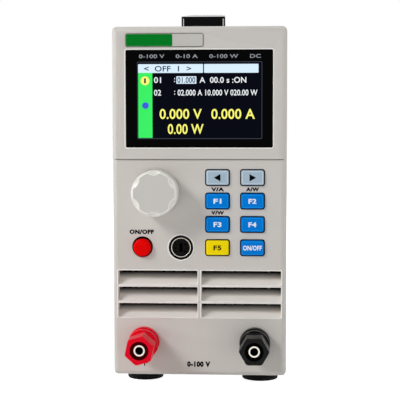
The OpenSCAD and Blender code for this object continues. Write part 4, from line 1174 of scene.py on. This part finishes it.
@dataclass(frozen=True)
class Key:
    """One key of the keypad and the mark on it: a blue one with a white label, unless it says otherwise."""

    name: str
    mark: KeyMark = KeyMark.LABEL
    text: str = ""
    finish: Finish = Palette.KEY_BLUE
    slot: str = "key_blue"
    ink: Finish = Palette.WHITE_INK
    # lighter line round the cap's front: a painted highlight
    line: Finish = Palette.KEY_BLUE_HIGHLIGHT

    @property
    def node(self) -> str:
        """Name of the cap's solid."""
        return "key_" + self.name

    def build(self, pad: "Keypad") -> None:
        """Softens the cap, runs a painted highlight line round its front and prints its mark.

        Args:
            pad: the keypad, whose sizes the keys share.
        """
        Workshop.softened(self.node, self.finish, pad.edge, 3)
        front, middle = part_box(self.node)[0].y, Workshop.middle(self.node)
        name, body = self.node + "_mark", self.name + "_key"
        width, height = pad.cap_w - 2 * pad.line_in, pad.cap_h - 2 * pad.line_in
        outline = Shapes.rounded_outline(width, height, pad.line_corner, 5)
        bead = Shapes.bead(outline, middle, front + pad.line_sunk, pad.line_r, 8)
        Workshop.piece(self.node + "_line", bead, self.line, self.slot, body)
        if self.mark is KeyMark.LABEL:
            width = min(pad.letter_w * len(self.text) + pad.letter_end, pad.label_w)
            Workshop.words(
                name, self.text, pad.label_h, middle, front, self.ink, self.slot, body, width, pad.label_bold
            )
            return
        side = -1.0 if self.mark is KeyMark.LEFT else 1.0
        tip, back, half = pad.arrow
        arrow = side * np.array([[tip, 0.0], [-back, half], [-back, -half]])
        shape = Shapes.plate(arrow, middle, front - PRINT_T, 2 * PRINT_T)
        Workshop.piece(name, shape, self.ink, self.slot, body, False)


@dataclass
class Keypad:
    """Eight soft-touch keys in two columns, with small marks above three of them."""

    edge: float = 0.25
    cap_w: float = 11.4 * MM
    cap_h: float = 7.4 * MM
    # the painted highlight line round each key's front
    line_in: float = 0.62 * MM
    line_r: float = 0.2 * MM
    line_sunk: float = 0.14 * MM
    line_corner: float = 0.6 * MM
    letter_w: float = 1.8 * MM
    letter_end: float = 0.4 * MM
    label_w: float = 9.4 * MM
    label_h: float = 2.5 * MM
    label_bold: float = 0.036
    arrow: tuple[float, float, float] = (1.8 * MM, 1.5 * MM, 1.85 * MM)
    gap: float = 0.6 * MM
    gap_corner: float = 1.4 * MM
    free: float = 0.06 * MM
    free_corner: float = 1.1 * MM
    # depth of the painted shadow rings round the keys
    shadow_t: float = 1.2 * MM
    note_up: float = 5.85 * MM
    note_w: float = 6.6 * MM
    note_h: float = 2.0 * MM
    note_bold: float = 0.06

    def build(self) -> None:
        """Builds every key, the painted shadow in the gaps round them and the small marks above three of
        them.
        """
        grey = {"finish": Palette.KEY_GREY, "slot": "key_grey", "line": Palette.KEY_GREY_HIGHLIGHT}
        yellow = {"finish": Palette.KEY_YELLOW, "slot": "key_yellow", "line": Palette.KEY_YELLOW_HIGHLIGHT}
        keys = (
            Key("left", KeyMark.LEFT, ink=Palette.INK, **grey),
            Key("right", KeyMark.RIGHT, ink=Palette.INK, **grey),
            Key("escape", text="F1"),
            Key("enter", text="F2"),
            Key("mode", text="F3"),
            Key("trigger", text="F4"),
            Key("shift", text="F5", ink=Palette.INK, **yellow),
            Key("on_off", text="ON/OFF"),
        )
        for key in keys:
            key.build(self)
        self._gap_shadows([key.node for key in keys])
        front, style = Workshop.panel_face(), {"width": self.note_w, "bold": self.note_bold}
        for node, text in (("key_escape", "V/A"), ("key_enter", "A/W"), ("key_mode", "V/W")):
            across, up = Workshop.middle(node)
            place = (across, up + self.note_up)
            Workshop.words(node + "_label", text, self.note_h, place, front, Palette.INK, "bezel", **style)

    def _gap_shadows(self, nodes: Sequence[str]) -> None:
        """Painted shadow in the gap round every key: a dark flat ring.

        Args:
            nodes: the keys' solids.
        """
        front = Workshop.panel_face() - PRINT_T
        outer, inner = (
            Shapes.rounded_outline(self.cap_w + 2 * gap, self.cap_h + 2 * gap, corner)
            for gap, corner in ((self.gap, self.gap_corner), (self.free, self.free_corner))
        )
        rings = [
            Shapes.ring_plate(outer, inner, Workshop.middle(node), front, self.shadow_t) for node in nodes
        ]
        Workshop.piece("key_gap_shadows", Workshop.joined(rings), Palette.GAP_SHADOW, "black_plastic")


@dataclass
class Controls:
    """Adjusting knob, power button and sense socket."""

    knob_edge: float = 0.45
    grips: int = 6
    grip_mid: float = 13.95 * MM
    grip_r: float = 4.82 * MM
    face_r: float = 10.5 * MM
    face_t: float = 0.6 * MM
    line_r: float = 0.16 * MM
    line_sunk: float = 0.05 * MM
    line_points: int = 480
    button_edge: float = 0.35
    button_r: float = 4.45 * MM
    # painted shadow round the power button
    shadow_out: float = 0.8 * MM
    shadow_in: float = 0.32 * MM
    shadow_t: float = 0.3 * MM
    shadow_off: float = 0.15 * MM
    socket_edge: float = 0.15
    socket_rim: float = 0.36 * MM
    shell_line: float = 0.18 * MM
    shell_in: float = 0.32 * MM

    def build(self) -> None:
        """Softens the pieces that are handled and dresses those behind them."""
        knob = Workshop.softened("encoder_knob", Palette.KNOB, self.knob_edge, 3)
        # the knob's front face takes the darker tone: painted shade against the lighter skirt
        Workshop.front_tinted(knob, "encoder_knob", self.face_t, Palette.KNOB_FACE_SHADED, True)
        self._knob_line()
        Workshop.softened("power_button", Palette.POWER_RED, self.button_edge, 3)
        Workshop.softened("sense_socket", Palette.SOCKET, self.socket_edge)
        self._gap_shadow()
        self._socket_rings()
        Workshop.dressed(("encoder_shaft", "encoder_nut"), Palette.NICKEL)
        Workshop.dressed(("sense_shell",), Palette.SOCKET)
        Workshop.dressed(("sense_contacts",), Palette.DULL_BRASS)
        Workshop.dressed(("encoder_body",), Palette.ZINC)
        Workshop.dressed(("power_switch", "key_switches"), Palette.BLACK)

    def _gap_shadow(self) -> None:
        """Painted shadow round the power button: a dark ring whose outside is raised and whose hole is
        lowered, so it shows as a crescent, widest at the top.
        """
        outer = Shapes.ring_outline(self.button_r + self.shadow_out) + np.array([0.0, 2 * self.shadow_off])
        inner = Shapes.ring_outline(self.button_r + self.shadow_in) - np.array([0.0, self.shadow_off])
        front = Workshop.panel_face() - PRINT_T
        ring = Shapes.ring_plate(outer, inner, Workshop.middle("power_button"), front, self.shadow_t)
        Workshop.piece("power_gap_shadow", ring, Palette.GAP_SHADOW, "black_plastic")

    def _socket_rings(self) -> None:
        """Bead round the sense socket, lighter than the bezel as a painted highlight, and a bright one on its
        shell's front.
        """
        middle = Workshop.middle("sense_socket")
        low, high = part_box("sense_socket")
        outline = Shapes.ring_outline((high.x - low.x) / 2 + self.socket_rim)
        rim = Shapes.bead(outline, middle, Workshop.panel_face(), self.socket_rim)
        Workshop.piece("socket_rim", rim, Palette.RIM_HIGHLIGHT, "bezel")
        low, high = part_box("sense_shell")
        outline = Shapes.ring_outline((high.x - low.x) / 2 - self.shell_in)
        line = Shapes.bead(outline, middle, low.y, self.shell_line)
        Workshop.piece("shell_line", line, Palette.NICKEL, "bright_metal")

    def _knob_line(self) -> None:
        """Bead along the lobed edge of the knob's face, lighter than the knob: a painted highlight.

        The edge is the face's circle, or beside a hollow the near side of the hollow's circle:
        d cos(a) - sqrt(h^2 - (d sin(a))^2), where a is the angle from the hollow's middle.
        """
        angle = np.linspace(0.0, 2 * math.pi, self.line_points, endpoint=False)
        pitch = 2 * math.pi / self.grips
        apart = (angle - math.pi / 2 + pitch / 2) % pitch - pitch / 2
        under = self.grip_r**2 - (self.grip_mid * np.sin(apart)) ** 2
        near = self.grip_mid * np.cos(apart) - np.sqrt(np.maximum(under, 0.0))
        radius = np.where(under > 0.0, np.minimum(near, self.face_r), self.face_r)
        outline = radius[:, None] * np.stack([np.cos(angle), np.sin(angle)], axis=1)
        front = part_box("encoder_knob")[0].y + self.line_sunk
        bead = Shapes.bead(outline, Workshop.middle("encoder_knob"), front, self.line_r, 8)
        Workshop.piece("knob_line", bead, Palette.RIM_HIGHLIGHT, "knob", "knob")


@dataclass
class BindingPosts:
    """Red and black binding posts."""

    edge: float = 0.3
    stem_edge: float = 0.18
    washer_edge: float = 0.12
    # where painted shade goes: the nut's recess and the stem's bore
    recess_r: float = 4.75 * MM
    recess_span: tuple[float, float] = (0.3 * MM, 4.4 * MM)
    bore_r: float = 2.3 * MM
    bore_span: tuple[float, float] = (0.5 * MM, 15.5 * MM)

    def build(self) -> None:
        """Softens both posts' mouldings and turned metal and paints shade into the hollows in them."""
        red = ("red_post_", Palette.POST_RED, Palette.POST_RED_SHADED)
        black = ("black_post_", Palette.POST_BLACK, Palette.PAINTED_SHADE)
        for post, finish, deep in (red, black):
            Workshop.softened(post + "base", finish, self.edge, 3)
            nut = Workshop.softened(post + "nut", finish, self.edge, 3)
            self._hollow(nut, post + "nut", deep, self.recess_r, self.recess_span)
            stem = Workshop.softened(post + "stem", Palette.NICKEL, self.stem_edge)
            self._hollow(stem, post + "stem", Palette.PAINTED_SHADE, self.bore_r, self.bore_span)
            Workshop.softened(post + "washer", Palette.NICKEL, self.washer_edge)
        Workshop.dressed(("post_hardware",), Palette.NICKEL)

    @staticmethod
    def _hollow(
        made: bpy.types.Object, node: str, deep: Finish, radius: float, span: Sequence[float]
    ) -> None:
        """Paints shade into the hollow in the front of a turned piece with a darker finish.

        Args:
            made: the softened piece.
            node: its solid.
            deep: the darker finish that paints shade into the hollow.
            radius: reach of the hollow from the axis.
            span: start and end of the hollow behind the solid's front.
        """
        axis = np.array(Workshop.middle(node))
        start, end = (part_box(node)[0].y + reach for reach in span)

        def inside(middles: np.ndarray, normals: np.ndarray) -> np.ndarray:
            """Faces near the axis that lie in the span, and look forwards or inwards.

            Args:
                middles: the faces' middles.
                normals: the faces' normals.

            Returns:
                Which faces these are.
            """
            near = np.linalg.norm(middles[:, (0, 2)] - axis, axis=1) < radius
            set_back = (middles[:, 1] > start) & (middles[:, 1] < end)
            return near & set_back & (normals[:, 1] < LOOKS_BACK)

        Workshop.tinted(made, deep, inside)


@dataclass
class Housing:
    """Folded case, its rubber feet and its screws."""

    edge: float = 0.2
    thin_edge: float = 0.15
    foot_edge: float = 0.5
    tab_t: float = 1.0 * MM
    head_r: float = 2.8 * MM
    cross_l: float = 3.0 * MM
    cross_w: float = 0.7 * MM
    cross_turn: float = 0.5

    def build(self) -> None:
        """Softens the case and its fittings, and paints shade on the front of the tray's tabs, which stand
        behind the louvres.
        """
        Workshop.softened("case_cover", Palette.CASE, self.edge)
        tray = Workshop.softened("chassis_tray", Palette.ZINC, self.thin_edge)
        # painted shade: the tabs' front faces made near black
        Workshop.front_tinted(tray, "chassis_tray", self.tab_t, Palette.PAINTED_SHADE)
        Workshop.softened("rear_panel", Palette.CASE, self.thin_edge)
        Workshop.softened("rubber_feet", Palette.RUBBER, self.foot_edge, 3)
        for node in ("foot_screws", "cover_screws", "handle_screws", "rear_screws", "fan_screws"):
            Workshop.softened(node, Palette.ZINC, self.thin_edge)
        Workshop.dressed(("bezel_screws",), Palette.ZINC)
        self._crosses()

    def _crosses(self) -> None:
        """Painted shade of a cross recess in the heads of the cover's and the fan's screws: a flat dark cross
        on each head.

        A cross is three corners of one arm turned by quarters. A head's middle lies one head radius
        inside the box round its node, and each cross is turned a little further than the last.
        """
        arm, half = self.cross_l / 2, self.cross_w / 2
        corners = np.array([[arm, -half], [arm, half], [half, half]])
        shapes = []
        for node, axes in (("cover_screws", (1, 0, 2)), ("fan_screws", (0, 1, 2))):
            low, high = (np.array(corner)[list(axes)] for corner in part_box(node))
            faces = (low[1], high[1]) if node == "cover_screws" else (high[1],)
            columns, rows = ((low[axis] + self.head_r, high[axis] - self.head_r) for axis in (0, 2))
            for face, across, up in product(faces, columns, rows):
                angle = self.cross_turn * len(shapes) + np.arange(4) * math.pi / 2
                cosine, sine = np.cos(angle), np.sin(angle)
                turn = np.stack([cosine, -sine, sine, cosine], axis=1).reshape(4, 2, 2)
                outline = np.einsum("kij,nj->kni", turn, corners).reshape(-1, 2)
                place, sides = Shapes.plate(outline, (across, up), face - PRINT_T, 2 * PRINT_T)
                shapes.append((place[:, axes], sides))
        # the crosses are painted shade on the heads, not cut recesses
        Workshop.piece("screw_crosses", Workshop.joined(shapes), Palette.PAINTED_SHADE, "steel", smooth=False)


@dataclass
class Handle:
    """Strap handle between two plated end caps."""

    cap_edge: float = 0.2
    anchor_edge: float = 0.2
    cap_low: float = 8.5 * MM
    cap_len: float = 38.0 * MM
    side: float = 0.15 * MM
    line_in: float = 1.15 * MM
    line_w: float = 0.4 * MM
    line_out: float = 0.06 * MM
    plate_t: float = 1.6 * MM
    plate_out: float = 0.2 * MM
    plate_edge: float = 0.8 * MM
    plate_turn: float = math.radians(60)
    plate_corner: float = 0.5 * MM
    lip_h: float = 0.45 * MM
    lip_w: float = 17.6 * MM
    strap_t: float = 3.0 * MM
    strap_flat: float = 26.0 * MM
    strap_power: float = 5.0
    strap_rings: int = 121
    strap_points: int = 96
    groove_in: float = 1.7 * MM
    groove_w: float = 0.45 * MM
    groove_d: float = 0.3 * MM

    def build(self) -> None:
        """Softens the caps and the blocks in them, closes their ends and lays the strap between them."""
        Workshop.softened("handle_caps", Palette.CHROME, self.cap_edge, 3)
        Workshop.softened("handle_anchors", Palette.BLACK, self.anchor_edge)
        low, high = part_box("handle_caps")
        for end, outer, inward in (("front", low.y, 1.0), ("rear", high.y, -1.0)):
            self._end_plate(end, low, high, outer, inward)
            self._lip(end, high, outer, inward)
        self._strap()

    def _end_plate(self, end: str, low: Vector, high: Vector, outer: float, inward: float) -> None:
        """Black plate that closes a cap's outer end, with rounded edges and a bright line by each side.

        Args:
            end: which end of the handle.
            low: lowest corner of the caps.
            high: highest corner of the caps.
            outer: y of the cap's outer end.
            inward: direction along y into the cap.
        """
        outline = Shapes.rounded_outline(high.x - low.x - 2 * self.side, self.cap_low, self.plate_corner, 4)
        face = outer - inward * self.plate_out
        front = face if inward > 0 else face - self.plate_t
        shape = Shapes.plate(outline, (0.0, low.z + self.cap_low / 2), front, self.plate_t)
        made = Workshop.piece(f"cap_end_{end}", shape, Palette.SOCKET, "black_plastic")
        Workshop.rounded(made, self.plate_edge, 3, self.plate_turn)
        half = (high.x - low.x) / 2 - self.line_in
        tall = self.cap_low - 2 * self.line_in
        strip = Shapes.rounded_outline(self.line_w, tall, self.line_w * ROUND_END, 4)
        depth = 2 * self.line_w
        start = face - self.line_out if inward > 0 else face + self.line_out - depth
        lines = [Shapes.plate(strip, (x, low.z + self.cap_low / 2), start, depth) for x in (-half, half)]
        Workshop.piece(f"cap_lines_{end}", Workshop.joined(lines), Palette.NICKEL, "chrome")

    def _lip(self, end: str, high: Vector, outer: float, inward: float) -> None:
        """Rolled lip across the top of a cap where the strap leaves it.

        Args:
            end: which end of the handle.
            high: highest corner of the caps.
            outer: y of the cap's outer end.
            inward: direction along y into the cap.
        """
        outline = Shapes.rounded_outline(self.lip_w, self.lip_h, self.lip_h * ROUND_END, 5)
        edge = outer + inward * (self.cap_len - self.lip_h)
        front = min(edge, edge - inward * self.lip_h)
        shape = Shapes.plate(outline, (0.0, high.z - self.lip_h / 2), front, self.lip_h)
        Workshop.piece(f"cap_lip_{end}", shape, Palette.DIM_NICKEL, "chrome")

    def _strap(self) -> None:
        """Moulded strap: a flattened oval carried along a raised cosine, with a pressed line by each edge.

        The oval is a superellipse of the strap's power. Along the free stretch s from 0 to 1 it climbs by
        rise * (1 - cos(2 pi s)) / 2, and each line is a bell-shaped dip in the upper face.
        """
        low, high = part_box("handle_strap")
        half = (high.x - low.x) / 2
        along = np.linspace(low.y, high.y, self.strap_rings)
        free = high.y - low.y - 2 * self.strap_flat
        share = np.clip((along - low.y - self.strap_flat) / free, 0.0, 1.0)
        climb = (high.z - low.z - self.strap_t) * (1.0 - np.cos(2 * math.pi * share)) / 2
        turn = np.linspace(0.0, 2 * math.pi, self.strap_points, endpoint=False)
        power = 2.0 / self.strap_power
        across = half * np.sign(np.cos(turn)) * np.abs(np.cos(turn)) ** power
        thick = self.strap_t / 2 * (1.0 + np.sign(np.sin(turn)) * np.abs(np.sin(turn)) ** power)
        dip = self.groove_d * np.exp(-(((np.abs(across) - half + self.groove_in) / self.groove_w) ** 2))
        thick = thick - np.where(np.sin(turn) > 0.0, dip, 0.0)
        place = np.zeros((len(along), len(turn), 3))
        place[:, :, 0] = across[None, :]
        place[:, :, 1] = along[:, None]
        place[:, :, 2] = low.z + climb[:, None] + thick[None, :]
        made = Workshop.piece("strap", Shapes.loft(place), Palette.VINYL, "strap", "strap")
        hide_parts("handle_strap")


@dataclass
class RearFittings:
    """Fan with its guard, mains inlet with its fuse drawer, and the data port."""

    edge: float = 0.3
    fine_edge: float = 0.2
    wire_edge: float = 0.4

    def build(self) -> None:
        """Softens what shows at the back and dresses the rest."""
        Workshop.softened("fan_frame", Palette.BLACK, self.edge)
        Workshop.softened("fan_rotor", Palette.BLACK, self.fine_edge)
        Workshop.softened("fan_guard", Palette.CHROME, self.wire_edge)
        Workshop.softened("mains_inlet", Palette.BLACK, self.edge)
        Workshop.softened("fuse_drawer", Palette.BLACK, self.edge)
        Workshop.softened("data_port", Palette.DIM_NICKEL, self.fine_edge)
        Workshop.dressed(("inlet_blades", "fuse"), Palette.DIM_NICKEL)


@dataclass
class Inside:
    """What shows through the vents: boards, heat sink, transformer and bars."""

    baffle_t: float = 1.0 * MM
    baffle_corner: float = 0.3 * MM
    baffle_free: float = 1.0 * MM

    def build(self) -> None:
        """Dresses the inner solids, which stay as they are, and hangs a dark baffle in the air path."""
        Workshop.dressed(("front_board", "power_board", "control_board"), Palette.BOARD)
        Workshop.dressed(("lcd_module", "mosfets"), Palette.BLACK)
        Workshop.dressed(("heat_sink",), Palette.ANODISED)
        Workshop.dressed(("board_pillars",), Palette.BRASS)
        Workshop.dressed(("bus_bars",), Palette.DULL_BRASS)
        Workshop.dressed(("transformer",), Palette.CORE)
        low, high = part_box("heat_sink")
        start, end = high.y + self.baffle_free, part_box("fan_frame")[0].y - self.baffle_free
        outline = Shapes.rounded_outline(self.baffle_t, high.z - low.z, self.baffle_corner, 3)
        shape = Shapes.plate(outline, (0.0, (low.z + high.z) / 2), start, end - start)
        Workshop.piece("air_baffle", shape, Palette.BLACK, "black_plastic")


@dataclass
class Studio:
    """Pale floor, white surround, soft lights and the camera."""

    eye: tuple[float, float, float] = (0.0352, -0.7158, 0.1373)
    turn: float = 3.28
    tilt: float = -3.82
    roll: float = 0.06
    lens: float = 109.0
    sensor: float = 36.0
    floor_half: float = 8.0
    paper: float = 0.8
    paper_lift: float = 0.9
    sky: tuple[float, float, float, float] = (0.95, 0.97, 1.0, 1.0)
    sky_light: float = 0.17
    aim: tuple[float, float, float] = (0.0, 0.0, 0.09)

    def build(self) -> None:
        """Makes the floor, the surround, the lights and the camera."""
        self._floor()
        self._surround()
        lamps = (
            ("key_light", (-1.0, -0.95, 0.95), (0.45, 0.45), 12.2, True),
            ("fill_light", (0.95, -0.75, 0.4), (0.8, 0.8), 0.9, True),
            ("rear_light", (0.35, 1.05, 0.75), (0.7, 0.7), 6.0, False),
            ("top_light", (0.0, 0.15, 1.2), (0.9, 0.9), 2.4, True),
            ("low_light", (0.0, -0.95, 0.06), (1.0, 0.1), 1.25, False),
            ("left_strip", (-0.9, -0.05, 0.3), (0.3, 0.9), 2.2, True),
            ("right_strip", (0.9, -0.05, 0.3), (0.3, 0.9), 2.2, True),
        )
        for name, place, size, power, shine in lamps:
            self._lamp(name, place, size, power, shine)
        self._camera()

    def _floor(self) -> None:
        """Level floor whose own light lifts it to the white of the surround, so only the shadow shows."""
        half = self.floor_half
        mesh = bpy.data.meshes.new("floor")
        corners = [(-half, -half, 0.0), (half, -half, 0.0), (half, half, 0.0), (-half, half, 0.0)]
        mesh.from_pydata(corners, [], [(0, 1, 2, 3)])
        material = bpy.data.materials.new("floor_paper")
        material.use_nodes = True
        tree = material.node_tree
        tree.nodes.clear()
        paper = tree.nodes.new("ShaderNodeBsdfDiffuse")
        paper.inputs["Color"].default_value = (self.paper, self.paper, self.paper, 1.0)
        light = tree.nodes.new("ShaderNodeEmission")
        light.inputs["Strength"].default_value = self.paper_lift
        lift = tree.nodes.new("ShaderNodeMixShader")
        both = tree.nodes.new("ShaderNodeAddShader")
        sink = tree.nodes.new("ShaderNodeOutputMaterial")
        Groups.wire(
            tree,
            (paper, 0, both, 0),
            (light, 0, both, 1),
            (self._seen_rays(tree), 0, lift, 0),
            (paper, 0, lift, 1),
            (both, 0, lift, 2),
            (lift, 0, sink, "Surface"),
        )
        mesh.materials.append(material)
        floor = bpy.data.objects.new("floor", mesh)
        bpy.context.scene.collection.objects.link(floor)
        LOG.info("made floor")

    def _surround(self) -> None:
        """World that is white where it is seen and a soft grey where it only lights."""
        world = bpy.data.worlds.new("surround")
        bpy.context.scene.world = world
        world.use_nodes = True
        tree = world.node_tree
        tree.nodes.clear()
        seen = tree.nodes.new("ShaderNodeBackground")
        seen.inputs["Color"].default_value = WHITE
        seen.inputs["Strength"].default_value = 1.0
        glow = tree.nodes.new("ShaderNodeBackground")
        glow.inputs["Color"].default_value = self.sky
        glow.inputs["Strength"].default_value = self.sky_light
        mixed = tree.nodes.new("ShaderNodeMixShader")
        sink = tree.nodes.new("ShaderNodeOutputWorld")
        Groups.wire(
            tree,
            (self._seen_rays(tree), 0, mixed, 0),
            (glow, 0, mixed, 1),
            (seen, 0, mixed, 2),
            (mixed, 0, sink, "Surface"),
        )
        bpy.context.scene.view_settings.view_transform = "Standard"

    @staticmethod
    def _seen_rays(tree: bpy.types.NodeTree) -> bpy.types.Node:
        """Mask of the rays that show the background: from the camera, mirrored or passing through.

        Args:
            tree: the tree to add to.

        Returns:
            The node whose value is 1 on such a ray and 0 on any other.
        """
        rays = tree.nodes.new("ShaderNodeLightPath")
        shiny = Groups.math_node(tree, "MAXIMUM")
        seen = Groups.math_node(tree, "MAXIMUM")
        Groups.wire(
            tree,
            (rays, "Is Glossy Ray", shiny, 0),
            (rays, "Is Transmission Ray", shiny, 1),
            (rays, "Is Camera Ray", seen, 0),
            (shiny, 0, seen, 1),
        )
        return seen

    def _lamp(
        self, name: str, place: Sequence[float], size: Sequence[float], power: float, shine: bool
    ) -> None:
        """Soft rectangular light aimed at the middle of the object.

        Args:
            name: the light's name.
            place: where it hangs.
            size: width and height.
            power: watts.
            shine: whether it is mirrored in glossy surfaces.
        """
        data = bpy.data.lights.new(name, "AREA")
        data.shape = "RECTANGLE"
        data.size, data.size_y = size
        data.energy = power
        lamp = bpy.data.objects.new(name, data)
        lamp.visible_glossy = shine
        bpy.context.scene.collection.objects.link(lamp)
        aim = Vector(self.aim) - Vector(place)
        lamp.matrix_world = Matrix.Translation(place) @ aim.to_track_quat("-Z", "Y").to_matrix().to_4x4()
        LOG.info("made %s", name)

    def _camera(self) -> None:
        """Camera at the photograph's viewpoint, as found from its front panel's corners."""
        turned = (
            Matrix.Rotation(math.radians(self.turn), 3, "Z")
            @ Matrix.Rotation(math.radians(self.tilt), 3, "X")
            @ Matrix.Rotation(math.radians(self.roll), 3, "Y")
        )
        right, ahead, up = (turned @ Vector(axis) for axis in ((1, 0, 0), (0, 1, 0), (0, 0, 1)))
        place = Matrix.Identity(4)
        for column, axis in enumerate((right, up, -ahead)):
            place.col[column][:3] = axis
        place.col[3][:3] = self.eye
        data = bpy.data.cameras.new("camera")
        data.lens = self.lens
        data.sensor_width = self.sensor
        camera = bpy.data.objects.new("camera", data)
        bpy.context.scene.collection.objects.link(camera)
        camera.matrix_world = place
        bpy.context.scene.camera = camera
        LOG.info("made camera")


def main() -> None:
    """Builds the object's looks piece by piece, then the studio round it."""
    logging.basicConfig(level=logging.INFO, format="%(name)s: %(message)s")
    panel = (FrontPanel, Display, Keypad, Controls, BindingPosts)
    for part in (*panel, Housing, Handle, RearFittings, Inside, Studio):
        LOG.info("building %s", part.__name__)
        part().build()


if __name__ == "__main__":
    main()
